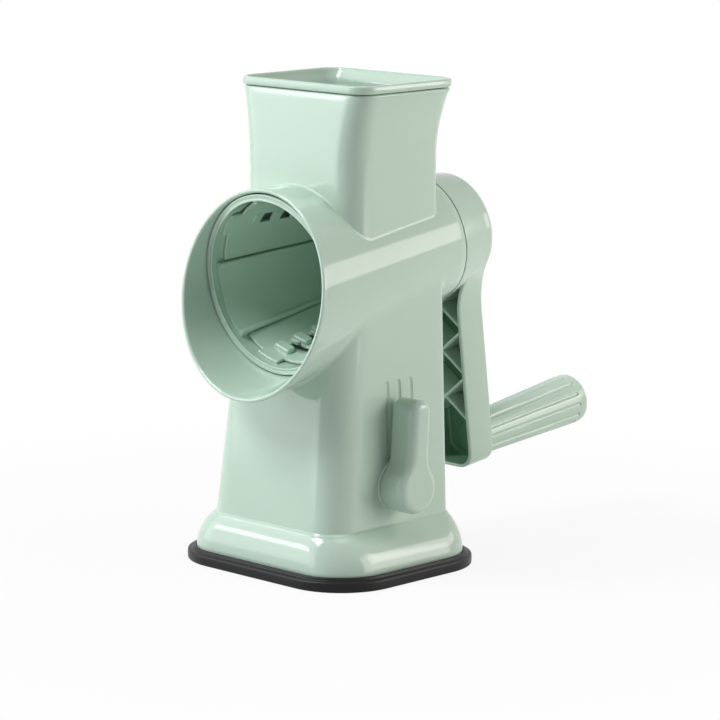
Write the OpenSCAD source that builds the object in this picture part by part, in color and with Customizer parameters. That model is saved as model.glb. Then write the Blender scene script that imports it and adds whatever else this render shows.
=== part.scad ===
// Rotary cabbage shredder with a suction foot, in millimetres.
// +Z is up, -Y is the front with the mouth, +X is the side with the suction lever.
// The origin is the middle of the foot's underside.

/* [Foot and skirt] */
// Width of the rubber foot, left to right
foot_w = 122; // [112:0.5:134]
// Depth of the rubber foot, front to back
foot_d = 105; // [98:0.5:116]
// Corner radius of the rubber foot
foot_r = 30; // [24:0.5:34]
// Thickness of the rubber foot
foot_h = 5; // [4:0.1:7]
// Height of the raised bead round the skirt
bead_h = 1.5; // [0.8:0.1:2.5]
// Rubber foot seen outside the skirt
foot_margin = 4.6; // [3.5:0.1:6]
// Corner radius at the skirt's lower edge
skirt_r = 22; // [18:0.5:26]
// Height of the crease where skirt and tower meet
skirt_top = 24; // [21:0.5:28]
// Wall of the skirt
skirt_wall = 2.2; // [1.6:0.1:2.8]
// Width of the ledge inside the skirt that the tower stands on
ledge_w = 4; // [3:0.1:5]

/* [Tower] */
// Half width of the tower at the crease, front
tower_front_half = 43.5; // [41:0.5:46]
// Half width of the tower at the crease, back
tower_back_half = 42; // [40:0.5:44]
// Tower's front wall at the crease, in front of the middle
tower_front = 41; // [38:0.5:43]
// Tower's back wall at the crease, behind the middle
tower_back = 39.6; // [37:0.5:42]
// How much each front edge comes inwards up to the barrel
tower_front_taper = 5.6; // [3:0.1:7]
// How much each back edge comes inwards up to the barrel
tower_back_taper = 10.6; // [9:0.1:12]
// How far the front wall leans back
tower_front_lean = 14.4; // [11:0.1:17]
// How far the back wall leans back
tower_back_lean = 7.3; // [4:0.1:9]
// Radius of the tower's front edges
tower_front_r = 15; // [11:0.5:17]
// Radius of the tower's back edges
tower_back_r = 5; // [4:0.5:8]
// Wall of tower, barrel and hopper
wall = 2.1; // [1.8:0.1:2.4]

/* [Barrel] */
// Height of the barrel's axis above the middle of the foot
axis_h = 141.2; // [138:0.1:146]
// Slope of the barrel, mouth down, in degrees
axis_tilt = 7.1; // [6:0.1:8]
// Outside diameter of the barrel at the middle of its mouth
mouth_d = 95; // [93:0.1:99]
// Outside diameter of the barrel at its back end
barrel_back_d = 64; // [61:0.1:66]
// Middle of the mouth, in front of the foot's middle along the axis
mouth_front = 50.6; // [48:0.1:54]
// Back end of the barrel, behind the foot's middle along the axis
barrel_back = 61; // [60:0.1:64]
// Slant of the mouth, lower lip forward, against the vertical in degrees
mouth_slant = 9.5; // [7:0.1:13]
// Thickness of the barrel's back wall
back_wall = 3.5; // [3:0.1:4]

/* [Hopper and pusher] */
// Overall height, foot to the pusher's top edge
total_h = 230; // [226:0.5:234]
// Width of the pusher's rim, left to right
rim_w = 85; // [83:0.5:88]
// Depth of the pusher's rim, front to back
rim_d = 65; // [64:0.5:67]
// Middle of the rim behind the middle of the foot
rim_y = 12.1; // [11:0.1:13]
// Corner radius of the rim
rim_r = 10; // [8:0.5:12]
// Height of the pusher's rim
rim_h = 3.9; // [3:0.1:5]
// Seam between the pusher's rim and the hopper
rim_seam = 0.4; // [0.3:0.1:0.8]
// Half width of the hopper's throat, front
throat_front_half = 37; // [36:0.5:38]
// Half width of the hopper's throat, back
throat_back_half = 30; // [28:0.5:31]
// Throat's front wall in front of the foot's middle
throat_front = 21.5; // [20:0.1:23]
// Throat's back wall behind the foot's middle
throat_back = 47; // [44:0.1:48]
// Height of the hopper's flare
flare_h = 32.7; // [28:0.1:36]
// Wall of the pusher
pusher_wall = 1.8; // [1.4:0.1:2.4]
// Clearance round the pusher
pusher_gap = 0.6; // [0.4:0.1:1]
// Height of the pusher with its rim
pusher_h = 46; // [42:0.5:47]

/* [Drum] */
// Clearance between drum and barrel
drum_gap = 0.6; // [0.5:0.1:1]
// Front face of the drum behind the mouth's middle, along the axis
drum_set_back = 12.4; // [11.5:0.1:16]
// Length of the drum's front ring
ring_len = 7; // [4:0.1:8]
// Width of the ring's front face
ring_w = 4.2; // [3:0.1:6]
// Wall of the drum's panels
panel_wall = 2; // [1.6:0.1:2.4]
// Thickness of a shredding plate
plate_wall = 1.4; // [1.1:0.1:1.8]
// Angle that each panel covers
panel_angle = 54; // [50:1:58]
// Seam between a panel and a plate, in degrees
plate_seam = 0.8; // [0.6:0.1:1.2]
// Distance between windows along a shredding plate
window_pitch = 11.6; // [11:0.1:13]
// Length of a window
window_len = 6.2; // [5:0.1:7]
// Angle that a window of the coarse plate covers
window_angle = 18; // [14:1:20]
// Height of the hoods between the windows
hood_h = 1.6; // [1:0.1:2]

/* [Crank] */
// Distance from the crank's axis to the grip's axis
crank_r = 107; // [100:0.5:110]
// Full depth of the hub behind the barrel
hub_depth = 25.6; // [24:0.1:28]
// Diameter of the hub at its back edge
hub_back_d = 53; // [50:0.5:56]
// Front of the arm behind the front of the hub
arm_set_back = 8.2; // [6:0.1:10]
// Half width of the arm
arm_half = 15; // [13.5:0.1:16]
// Arm beyond the grip's axis
arm_over = 11; // [10.5:0.1:13]
// Wall of the arm
arm_wall = 1.8; // [1.5:0.1:2.4]
// Thickness of the crossed ribs
rib_t = 1.3; // [1:0.1:1.8]
// Running seam between barrel and hub
hub_seam = 0.5; // [0.4:0.1:0.8]
// Diameter of the crank's journal
journal_d = 12; // [11.8:0.1:13]
// Width of the square that drives the drum
square_w = 8; // [7.4:0.1:8.2]
// Radial running clearance of shafts
run_gap = 0.06; // [0.04:0.01:0.09]

/* [Grip] */
// Length of the grip
grip_len = 74; // [68:0.5:84]
// Diameter of the grip at the arm
grip_near_d = 21.2; // [20:0.1:23]
// Largest diameter of the grip
grip_far_d = 25.4; // [24:0.1:28]
// Flutes round the grip
flutes = 14; // [9:1:14]
// Radius of a flute
flute_r = 1.3; // [1:0.1:1.6]
// Diameter of the grip's pin
pin_d = 8; // [7:0.1:9]

/* [Suction lever] */
// Lever's axis behind the middle of the foot
lever_y = 2; // [0:0.5:4]
// Height of the lever's axis
lever_z = 42.5; // [40:0.5:45]
// Radius of the lever's round end
lobe_r = 12; // [11:0.1:13]
// Width of the lever's neck
neck_w = 12.4; // [11:0.1:14]
// Length of the lever from its axis to its tip
lever_len = 42.8; // [40:0.1:46]
// Thickness of the lever
lever_t = 14.6; // [13:0.1:16]
// Back of the lever from the middle of the foot
lever_back = 43.7; // [43.5:0.1:46]
// Diameter of the cam shaft
cam_shaft_d = 8; // [7:0.1:9]
// Diameter of the cam
cam_d = 16; // [15:0.5:18]
// Travel of the suction stem
stem_travel = 3; // [2:0.1:3.5]

/* [Hidden] */

mint = [0.73, 0.86, 0.78];
deep_mint = [0.62, 0.76, 0.68];
black_rubber = [0.13, 0.13, 0.14];
steel = [0.75, 0.76, 0.78];
white_plastic = [0.92, 0.93, 0.9];

arc_steps = 8;
round_fn = 96;
hull_fn = 32;
// One overrun for every cut
over = 1;
// Clearance between fixed pieces
fit = 0.15;

// Barrel and axis
barrel_len = mouth_front + barrel_back;
cone_slope = (mouth_d - barrel_back_d) / 2 / barrel_len;
function barrel_r(s) = barrel_back_d / 2 + (barrel_back - s) * cone_slope;
barrel_front_end = -mouth_front - mouth_d / 4;
wall_inside_s = barrel_back - back_wall;
mouth_y = -mouth_front * cos(axis_tilt);
mouth_z = axis_h - mouth_front * sin(axis_tilt);

// Tower
tower_top = axis_h + barrel_back * sin(axis_tilt) / 2;
tower_post_r = 4.5;
post_inset = 9;
post_clear = 0.3;
post_lift = 3.2;
post_bottom = foot_h + post_lift;
post_top = 50;
post_rib_h = 20;

// Hopper
hopper_top = total_h - rim_h - rim_seam;
flare_z = hopper_top - flare_h;
pusher_bottom = total_h - pusher_h;
hopper_low = axis_h + barrel_back_d / 4;
flare_power = 1.8;
hopper_levels = 7;
hopper_inset = 0.5;
throat_r = 9;

// Grooves on the right wall
groove_n = 3;
groove_fn = 16;
groove_pitch = 7.8;
groove_w = 1.9;
groove_depth = 0.6;
groove_top = 92;
groove_low = 58.5;
groove_shift = 3;
groove_y = lever_y + groove_shift;

// Drum
drum_front = -mouth_front + drum_set_back;
function drum_r(s) = barrel_r(s) - wall - drum_gap;
panel_set_in = 1.3;
function panel_r(s) = drum_r(s) - panel_set_in;
ring_end = drum_front + ring_len;
disc_gap = 7.5;
hub_reach = 12;
shaft_reach = 3.4;
journal_gap = 0.2;
bush_reach = 3;
square_reach = 14;
drum_disc_s = wall_inside_s - disc_gap;
drum_disc_t = 2;
drum_hub_d = 18;
drum_hub_front = drum_disc_s - hub_reach;
bush_flange_t = 2;
bush_flange_d = 24;
bush_d = 18;
hub_back_gap = 0.5;
drum_hub_back = wall_inside_s - bush_flange_t - hub_back_gap;
panel_count = 3;
panel_mid = 199;
ridge_h = 1.5;
ridge_angle = 3.2;
plate_angle = 360 / panel_count - panel_angle - 2 * plate_seam;
// Share of the coarse windows' angle, and start of the first window behind the ring, for each plate
window_shares = [1, 0.78, 0.56];
window_starts = [11.2, 14.2, 17.6];
function window_n(k) = floor((drum_disc_s - ring_end - window_starts[k] - window_len) / window_pitch) + 1;
hood_share = 0.72;
hood_clear = 0.4;
cone_angle = atan(cone_slope);
square_gap = 0.1;

// Shaft
shaft_front = drum_hub_front - shaft_reach;
journal_start = wall_inside_s - bush_flange_t - journal_gap;
bush_back = barrel_back + bush_reach;
washer_t = 1.3;
washer_gap = 0.1;
boss_front = bush_back + washer_t + 2 * washer_gap;
journal_end = boss_front - washer_gap;
shaft_back = boss_front + square_reach;
screw_d = 4;
screw_gap = 0.05;
screw_head_d = 7.4;
screw_head_h = 2.6;
clip_t = 1;

// Crank
hub_front = barrel_back + hub_seam;
hub_back = hub_front + hub_depth;
arm_front = hub_front + arm_set_back;
arm_end = crank_r + arm_over;
arm_corner_r = 9;
arm_fillet_r = 26;
hub_wall = 2;
hub_rim_r = 5;
hub_boss_d = 20;
boss_root = hub_back - arm_wall;
rib_pitch = 23.5;
rib_first = 23.5;
rib_cells = 3;
rib_recess = 0.8;
axle_boss_d = 15;
axle_head_d = 11;
axle_head_h = 3;
arm_round = 1.6;
arm_step = 0.4;

// Grip
collar_t = 2.2;
collar_over = 0.5;
collar_gap = 0.15;
arm_back = hub_back - arm_step;
grip_start = arm_back + collar_t + 2 * collar_gap;
grip_end = grip_start + grip_len;
grip_bore_len = 58;
pin_spare = 6;
grip_pin_end = grip_start + grip_bore_len - pin_spare;
grip_round = 9;
grip_full_share = 0.9;
flute_end_gap = 9;
flute_sink = 0.6;
grip_clip_d = 12.4;
grip_clip_s = grip_pin_end - 3 * clip_t;
clip_pocket_gap = 0.4;

// Suction mechanism
cam_throw = stem_travel / (2 * sin(45));
cam_t = 8;
cam_bore_gap = 0.02;
yoke_gap = 0.3;
yoke_wall = 3;
yoke_t = 7;
yoke_side_gap = 1.2;
stem_d = 10;
stem_flange_d = 30;
stem_flange_h = 2.2;
plate_t = 3;
plate_lift = 0.2;
plate_z = foot_h + plate_lift;
plate_gap = 0.3;
plate_hole_gap = 0.6;
cup_wall = 1.8;
cup_h = stem_travel + foot_h / 5 + cup_wall;
shaft_post_x = -12;
shaft_post_t = 4;
shaft_post_w = 14;
wall_boss_d = 16;
wall_boss_len = 10;
wall_boss_proud = 0.7;
lever_seat_gap = 0.25;
lever_boss_d = 14;
clip_d = 12;
socket_depth = 8.4;
screw_len = 15;
base_screw_d = 3;
base_head_d = 6;
base_head_h = 1.6;
pad_edge = 0.8;
bead_w = 1.7;
bead_gap = 0.3;
pad_pocket_h = 2.6;

function mix(a, b, t) = a + (b - a) * t;
function turned(p) = [for (i = [len(p) - 1:-1:0]) p[i]];

// Rounded outline: f and b are the front and back half widths, y0 and y1 the
// front and back walls, rf and rb the corner radii. The outline starts at the
// back right corner and runs anticlockwise.
function outline(f, b, y0, y1, rf, rb) = concat(
    corner(b - rb, y1 - rb, rb, 0), corner(rb - b, y1 - rb, rb, 90),
    corner(rf - f, y0 + rf, rf, 180), corner(f - rf, y0 + rf, rf, 270));
function corner(cx, cy, r, start) = [for (i = [0:arc_steps])
    [cx + r * cos(start + 90 * i / arc_steps), cy + r * sin(start + 90 * i / arc_steps)]];
// The same outline drawn inwards by d and lifted to height z
function inner_outline(o, d) = outline(o[0] - d, o[1] - d, o[2] + d, o[3] - d,
    max(o[4] - d, wall / 4), max(o[5] - d, wall / 4));
function plain_outline(o) = outline(o[0], o[1], o[2], o[3], o[4], o[5]);
function lift(pts, z) = [for (p = pts) [p[0], p[1], z]];

// A skin over rings of equal length, closed at both ends
module loft(rings) {
    n = len(rings[0]);
    m = len(rings);
    pts = [for (r = rings) each r];
    sides = [for (j = [0:m - 2]) for (i = [0:n - 1]) each [
        [j * n + i, (j + 1) * n + i, (j + 1) * n + (i + 1) % n],
        [j * n + i, (j + 1) * n + (i + 1) % n, j * n + (i + 1) % n]]];
    bottom = [[for (i = [0:n - 1]) i]];
    top = [[for (i = [0:n - 1]) m * n - 1 - i]];
    polyhedron(points = pts, faces = concat(bottom, sides, top));
}

// Child's z runs back along the barrel's axis, its y points down
module on_axis() {
    translate([0, 0, axis_h]) rotate([axis_tilt - 90, 0, 0]) children();
}

module rod(from, to, d) {
    translate([0, 0, from]) cylinder(h = to - from, d = d, $fn = round_fn);
}

module rod_x(from, to, d) {
    translate([from, 0, 0]) rotate([0, 90, 0]) cylinder(h = to - from, d = d, $fn = round_fn);
}

// Tower outline at height z, as half widths, walls and radii
tower_rise = tower_top - skirt_top;
function tower_at(z) = let (t = (z - skirt_top) / tower_rise) [
    tower_front_half - tower_front_taper * t, tower_back_half - tower_back_taper * t,
    -tower_front + tower_front_lean * t, tower_back + tower_back_lean * t,
    tower_front_r, tower_back_r];

// Hopper outline at height z
function flare_at(z) = z <= flare_z ? 0 : pow((z - flare_z) / (hopper_top - flare_z), flare_power);
function hopper_at(z) = let (t = flare_at(z)) [
    mix(throat_front_half, rim_w / 2 - hopper_inset, t), mix(throat_back_half, rim_w / 2 - hopper_inset, t),
    mix(-throat_front, rim_y - rim_d / 2 + hopper_inset, t),
    mix(throat_back, rim_y + rim_d / 2 - hopper_inset, t), mix(throat_r, rim_r, t), mix(throat_r, rim_r, t)];
hopper_z = concat([hopper_low], [for (i = [0:hopper_levels])
    mix(flare_z, hopper_top, i / hopper_levels)]);

module tower_solid(inset, low, high) {
    loft([for (z = [low, high]) lift(inner_outline(tower_at(z), inset), z)]);
}

module hopper_solid(inset, extra) {
    loft(concat([for (z = hopper_z) lift(inner_outline(hopper_at(z), inset), z)],
        extra > 0 ? [lift(inner_outline(hopper_at(hopper_top), inset), hopper_top + extra)] : []));
}

module barrel_solid() {
    on_axis() translate([0, 0, barrel_front_end])
        cylinder(h = barrel_back - barrel_front_end, r1 = barrel_r(barrel_front_end),
            r2 = barrel_r(barrel_back), $fn = round_fn);
}

module barrel_hollow() {
    start = barrel_front_end - over;
    on_axis() translate([0, 0, start])
        cylinder(h = wall_inside_s - start, r1 = barrel_r(start) - wall,
            r2 = barrel_r(wall_inside_s) - wall, $fn = round_fn);
}

// Everything in front of the slanted mouth
module mouth_cut() {
    translate([0, mouth_y, mouth_z]) rotate([-mouth_slant, 0, 0])
        translate([-mouth_d, -mouth_d, -mouth_d]) cube([2 * mouth_d, mouth_d, 2 * mouth_d]);
}

// Middles of the four posts inside the tower that the base screws enter
function post_x(back) = (back ? tower_back_half - tower_back_r : tower_front_half - tower_front_r)
    - (back ? post_inset : 0);
function post_y(back) = back ? tower_back - post_inset
    : ledge_w + tower_post_r + post_clear - tower_front;
posts = [for (back = [false, true]) for (side = [-1, 1]) [side * post_x(back), post_y(back)]];

// A rib from each back post to the back wall
module post_ribs() {
    for (side = [-1, 1])
        translate([side * post_x(true) - wall / 2, post_y(true), skirt_top + fit])
            cube([wall, tower_back - wall / 2 - post_y(true), post_rib_h]);
}

// Three round-ended grooves on the right wall
module grooves() {
    for (i = [0:groove_n - 1]) {
        y = groove_y + (i - (groove_n - 1) / 2) * groove_pitch;
        hull() for (z = [groove_low, groove_top])
            translate([wall_x(z, y) - groove_depth, y, z]) rotate([0, 90, 0])
                cylinder(h = groove_depth + over, d = groove_w, $fn = groove_fn);
    }
}

// Outer face of the lever's bearing on the right wall
wall_seat = wall_x(lever_z, lever_y) + wall_boss_proud;

// Right wall of the tower at a height and depth
function wall_x(z, y) = let (o = tower_at(z)) mix(o[0], o[1], (y - o[2]) / (o[3] - o[2]));

module body_shell() {
    color(mint) difference() {
        union() {
            difference() {
                tower_solid(0, skirt_top, tower_top);
                tower_solid(wall, foot_h, tower_top + over);
                grooves();
            }
            barrel_solid();
            hopper_solid(0, 0);
            for (p = posts) translate([p[0], p[1], post_bottom])
                cylinder(h = post_top - post_bottom, r = tower_post_r, $fn = round_fn);
            post_ribs();
            translate([0, lever_y, lever_z]) rod_x(wall_seat - wall_boss_len, wall_seat, wall_boss_d);
        }
        barrel_hollow();
        hopper_solid(wall, over);
        mouth_cut();
        on_axis() rod(wall_inside_s - over, barrel_back + over, bush_d + 2 * screw_gap);
        translate([0, lever_y, lever_z]) rod_x(cam_d, lever_back + over, cam_shaft_d + 2 * run_gap);
        for (p = posts) translate([p[0], p[1], post_bottom - over])
            cylinder(h = screw_len, d = base_screw_d + 2 * screw_gap, $fn = round_fn);
    }
}

// Skirt outline at a share of its height, from the foot to the tower
skirt_levels = 7;
skirt_power = 1.7;
skirt_low = [foot_w / 2 - foot_margin, foot_w / 2 - foot_margin, foot_margin - foot_d / 2,
    foot_d / 2 - foot_margin, skirt_r, skirt_r];
function skirt_at(t) = let (g = pow(t, skirt_power), o = tower_at(skirt_top))
    [for (i = [0:5]) mix(skirt_low[i], o[i], g)];
function skirt_z(t) = mix(foot_h, skirt_top, t);

module base_skirt() {
    ledge_t = skirt_wall;
    color(mint) difference() {
        loft([for (i = [0:skirt_levels]) let (t = i / skirt_levels)
            lift(plain_outline(skirt_at(t)), skirt_z(t))]);
        loft(concat([lift(inner_outline(skirt_at(0), skirt_wall), foot_h - over)],
            [for (i = [0:skirt_levels - 1]) let (t = i / skirt_levels)
                lift(inner_outline(skirt_at(t), skirt_wall), skirt_z(t) - (i == 0 ? 0 : ledge_t / 2))],
            [lift(inner_outline(skirt_at(1), ledge_w), skirt_top - ledge_t)]));
        loft([for (z = [skirt_top - 2 * ledge_t, skirt_top + over])
            lift(inner_outline(tower_at(skirt_top), ledge_w), z)]);
    }
}

module base_plate() {
    rim_out = skirt_wall + plate_gap;
    color(mint) difference() {
        union() {
            loft([for (z = [plate_z, plate_z + plate_t])
                lift(inner_outline(skirt_at(0), rim_out + (z > plate_z ? plate_t / 3 : 0)), z)]);
            translate([0, lever_y, plate_z])
                cylinder(h = cup_h, d = stem_flange_d + 2 * (plate_hole_gap + cup_wall), $fn = round_fn);
            translate([shaft_post_x, lever_y - shaft_post_w / 2, plate_z + cup_h - cup_wall / 2])
                cube([shaft_post_t, shaft_post_w, lever_z - plate_z - cup_h + cup_wall / 2]);
            translate([shaft_post_x, lever_y, lever_z]) rod_x(0, shaft_post_t, shaft_post_w);
        }
        translate([0, lever_y, plate_z - over])
            cylinder(h = cup_h + 2 * over, d = stem_d + 2 * plate_hole_gap, $fn = round_fn);
        translate([0, lever_y, plate_z - over])
            cylinder(h = over + cup_h - cup_wall, d = stem_flange_d + 2 * plate_hole_gap, $fn = round_fn);
        translate([0, lever_y, lever_z])
            rod_x(shaft_post_x - over, shaft_post_x + shaft_post_t + over, cam_shaft_d + 2 * run_gap);
        for (p = posts) translate([p[0], p[1], plate_z - over]) {
            cylinder(h = plate_t + 2 * over, d = base_screw_d + 4 * screw_gap, $fn = round_fn);
            cylinder(h = over + base_head_h + screw_gap, d = base_head_d + 2 * fit, $fn = round_fn);
        }
    }
}

module base_screws() {
    color(steel) for (p = posts) translate([p[0], p[1], plate_z]) {
        cylinder(h = base_head_h, d = base_head_d, $fn = round_fn);
        cylinder(h = screw_len - over, d = base_screw_d, $fn = round_fn);
    }
}

module suction_pad() {
    foot = [foot_w / 2, foot_w / 2, -foot_d / 2, foot_d / 2, foot_r, foot_r];
    bead_out = foot_margin - bead_gap - bead_w;
    color(black_rubber) difference() {
        union() {
            loft([lift(inner_outline(foot, pad_edge), 0), lift(plain_outline(foot), pad_edge),
                lift(plain_outline(foot), foot_h - pad_edge), lift(inner_outline(foot, pad_edge), foot_h)]);
            difference() {
                loft([for (z = [foot_h - over, foot_h + bead_h])
                    lift(inner_outline(foot, bead_out), z)]);
                loft([for (z = [foot_h - 2 * over, foot_h + bead_h + over])
                    lift(inner_outline(skirt_low, -bead_gap), z)]);
            }
        }
        translate([0, lever_y, foot_h - pad_pocket_h])
            cylinder(h = pad_pocket_h + over, d = stem_flange_d + 2 * plate_hole_gap, $fn = round_fn);
    }
}

// The cam's middle at rest, seen from the shaft
cam_rest_y = -cam_throw * sin(45);
cam_rest_z = -cam_throw * cos(45);

module suction_stem() {
    yoke_low = lever_z + cam_rest_z - cam_d / 2 - yoke_gap;
    yoke_high = lever_z + cam_rest_z + cam_d / 2 + yoke_gap;
    yoke_half = cam_d / 2 + cam_throw + yoke_side_gap;
    stem_low = foot_h - pad_pocket_h + screw_gap;
    color(white_plastic) translate([0, lever_y, 0]) {
        difference() {
            translate([-yoke_t / 2, -yoke_half - yoke_wall, yoke_low - yoke_wall])
                cube([yoke_t, 2 * (yoke_half + yoke_wall), yoke_high - yoke_low + 2 * yoke_wall]);
            translate([-yoke_t, -yoke_half, yoke_low])
                cube([2 * yoke_t, 2 * yoke_half, yoke_high - yoke_low]);
        }
        translate([0, 0, stem_low]) cylinder(h = yoke_low - yoke_wall - stem_low + fit, d = stem_d, $fn = round_fn);
        translate([0, 0, stem_low]) cylinder(h = stem_flange_h, d = stem_flange_d, $fn = round_fn);
    }
}

shaft_end_x = lever_back + socket_depth;
shaft_spare = 2;
shaft_low_x = shaft_post_x - clip_t - shaft_spare;

module cam_shaft() {
    color(steel) translate([0, lever_y, lever_z])
        rod_x(shaft_low_x, shaft_end_x - fit, cam_shaft_d);
}

module suction_cam() {
    color(white_plastic) translate([0, lever_y, lever_z]) difference() {
        translate([0, cam_rest_y, cam_rest_z]) rod_x(-cam_t / 2, cam_t / 2, cam_d);
        rod_x(-cam_t, cam_t, cam_shaft_d + 2 * cam_bore_gap);
    }
}

module shaft_clip() {
    color(steel) translate([0, lever_y, lever_z]) difference() {
        rod_x(shaft_post_x - clip_t - fit, shaft_post_x - fit, clip_d);
        rod_x(shaft_post_x - 2 * clip_t - over, shaft_post_x + over, cam_shaft_d + 2 * cam_bore_gap);
    }
}

// Pear outline of the lever, inset by d: round end, hollow flanks, neck and tip
flank_r = 14;
tip_r = 5;
flank_steps = 6;
lobe_steps = 24;
function pear(d) = turned(pear_points(d));
function pear_points(d) = let (r = lobe_r - d, h = neck_w / 2 - d, k = flank_r + d,
    v = sqrt(pow(r + k, 2) - pow(h + k, 2)), a = atan2(v, h + k), q = tip_r - min(d, tip_r - wall / 4),
    top = lever_len - d) concat(
    [for (i = [0:lobe_steps]) let (w = a - (180 + 2 * a) * i / lobe_steps) [r * cos(w), r * sin(w)]],
    [for (i = [1:flank_steps]) let (w = -a * (1 - i / flank_steps)) [-(h + k) + k * cos(w), v + k * sin(w)]],
    [for (i = [0:flank_steps]) let (w = 180 - 90 * i / flank_steps) [q - h + q * cos(w), top - q + q * sin(w)]],
    [for (i = [0:flank_steps]) let (w = 90 - 90 * i / flank_steps) [h - q + q * cos(w), top - q + q * sin(w)]],
    [for (i = [0:flank_steps - 1]) let (w = -180 + a * i / flank_steps) [h + k + k * cos(w), v + k * sin(w)]]);
lever_edge = 0.7;
lever_round = 4;
round_levels = 4;
lever_rings = concat([[0, lever_edge], [lever_edge, 0]],
    [for (i = [0:round_levels]) let (w = 90 * i / round_levels)
        [lever_t - lever_round + lever_round * sin(w), lever_round * (1 - cos(w))]]);

module suction_lever() {
    color(mint) difference() {
        union() {
            loft([for (l = lever_rings) [for (p = pear(l[1])) [lever_back + l[0], lever_y + p[0], lever_z + p[1]]]]);
            translate([0, lever_y, lever_z]) rod_x(wall_seat + lever_seat_gap, lever_back + lever_edge, lever_boss_d);
        }
        translate([0, lever_y, lever_z]) rod_x(wall_seat, shaft_end_x, cam_shaft_d + 2 * cam_bore_gap);
    }
}

pusher_levels = concat([pusher_bottom], [for (i = [0:hopper_levels]) mix(flare_z, hopper_top, i / hopper_levels)]);
stud_d = 3;
stud_h = 1.6;
stud_pitch = 11;

// The pusher is nowhere deeper than the hopper's top, so that it slides out
function pusher_at(z) = let (o = hopper_at(z), t = hopper_at(hopper_top)) [o[0], o[1], t[2], t[3], o[4], o[5]];

module food_pusher() {
    inset = wall + pusher_gap;
    rim = [rim_w / 2, rim_w / 2, rim_y - rim_d / 2, rim_y + rim_d / 2, rim_r, rim_r];
    rim_low = total_h - rim_h;
    rim_edge = 0.7;
    rim_face = 2.6;
    color(mint) difference() {
        union() {
            loft(concat([for (z = pusher_levels) lift(inner_outline(pusher_at(z), inset), z)],
                [lift(inner_outline(hopper_at(hopper_top), inset), rim_low + rim_edge)]));
            loft([lift(inner_outline(rim, rim_edge / 2), rim_low), lift(plain_outline(rim), rim_low + rim_edge),
                lift(plain_outline(rim), total_h - rim_edge), lift(inner_outline(rim, rim_edge), total_h)]);
            for (i = [-2:2]) for (j = [-1:1])
                translate([i * stud_pitch, rim_y + j * stud_pitch, pusher_bottom - stud_h])
                    cylinder(h = stud_h + fit, d1 = stud_d / 2, d2 = stud_d, $fn = hull_fn);
        }
        loft(concat([for (z = pusher_levels) lift(inner_outline(pusher_at(z), inset + pusher_wall),
                max(z, pusher_bottom + pusher_wall))],
            [lift(inner_outline(rim, rim_face), total_h + over)]));
    }
}

// Part of a cone wall round the axis: from angle a0 over span a, between s0 and s1,
// outer radius out(s) = panel_r(s) + shift, thickness t
module cone_wall(a0, a, s0, s1, shift, t) {
    rotate([0, 0, a0]) rotate_extrude(angle = a, $fn = round_fn) polygon([
        [panel_r(s0) + shift - t, s0], [panel_r(s0) + shift, s0],
        [panel_r(s1) + shift, s1], [panel_r(s1) + shift - t, s1]]);
}

// Angles here are seen with y down, so an angle from the front turns over
function drum_angle(a) = -a;

module drum_frame() {
    half = panel_angle / 2;
    ring_in = drum_r(drum_front) - ring_w;
    color(deep_mint) on_axis() difference() {
        union() {
            rotate_extrude($fn = round_fn) polygon([
                [ring_in, drum_front + ring_w / 5], [ring_in + ring_w / 5, drum_front],
                [drum_r(drum_front) - ring_w / 6, drum_front],
                [drum_r(drum_front), drum_front + ring_w / 6],
                [drum_r(ring_end), ring_end],
                [panel_r(ring_end) - panel_wall * 1.2, ring_end], [ring_in, ring_end - ring_len / 3]]);
            for (i = [0:panel_count - 1]) {
                mid = drum_angle(panel_mid + i * 360 / panel_count);
                cone_wall(mid - half, panel_angle, ring_end - ring_len / 4, drum_disc_s + drum_disc_t / 2, 0, panel_wall);
                for (side = [-1, 1])
                    cone_wall(mid + side * (half - ridge_angle) - ridge_angle / 2, ridge_angle,
                        ring_end - ring_len / 5, drum_disc_s + drum_disc_t / 3, -panel_wall / 2, ridge_h);
            }
            rod(drum_disc_s, drum_disc_s + drum_disc_t, 2 * panel_r(drum_disc_s + drum_disc_t) - panel_wall);
            rod(drum_hub_front, drum_hub_back, drum_hub_d);
        }
        translate([-square_w / 2 - square_gap, -square_w / 2 - square_gap, drum_hub_front - over])
            cube([square_w + 2 * square_gap, square_w + 2 * square_gap, drum_hub_back - drum_hub_front + 2 * over]);
    }
}

plate_mid = panel_mid + 180 / panel_count;
plate_shift = -0.2;

module shredding_plate(k) {
    mid = drum_angle(plate_mid + k * 360 / panel_count);
    s0 = ring_end + fit;
    s1 = drum_disc_s - fit;
    span = window_angle * window_shares[k];
    hood_span = span * hood_share;
    first = ring_end + window_starts[k];
    color(deep_mint) on_axis() difference() {
        union() {
            cone_wall(mid - plate_angle / 2, plate_angle, s0, s1, plate_shift, plate_wall);
            for (i = [0:window_n(k)]) {
                s = first + (i - 1) * window_pitch + window_len;
                cone_wall(mid + span / 2 - hood_span / 3, hood_span, s + hood_clear,
                    min(s + window_pitch - window_len, s1) - hood_clear, plate_shift - plate_wall / 2, hood_h);
            }
        }
        for (i = [0:window_n(k) - 1])
            cone_wall(mid - span / 2, span, first + i * window_pitch, first + i * window_pitch + window_len,
                plate_shift + over, plate_wall + hood_h + 2 * over);
    }
}

module drive_shaft() {
    color(white_plastic) on_axis() difference() {
        union() {
            translate([-square_w / 2, -square_w / 2, shaft_front])
                cube([square_w, square_w, shaft_back - shaft_front]);
            rod(journal_start, journal_end, journal_d);
        }
        rod(shaft_front - over, shaft_back + over, screw_d + 4 * screw_gap);
    }
}

module drum_clip() {
    hole = square_w + 2 * square_gap;
    color(steel) on_axis() difference() {
        rod(drum_hub_front - fit - clip_t, drum_hub_front - fit, hole * sqrt(2) + 2 * clip_t);
        translate([-hole / 2, -hole / 2, drum_hub_front - 2 * clip_t - over])
            cube([hole, hole, 2 * clip_t + 2 * over]);
    }
}

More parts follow.
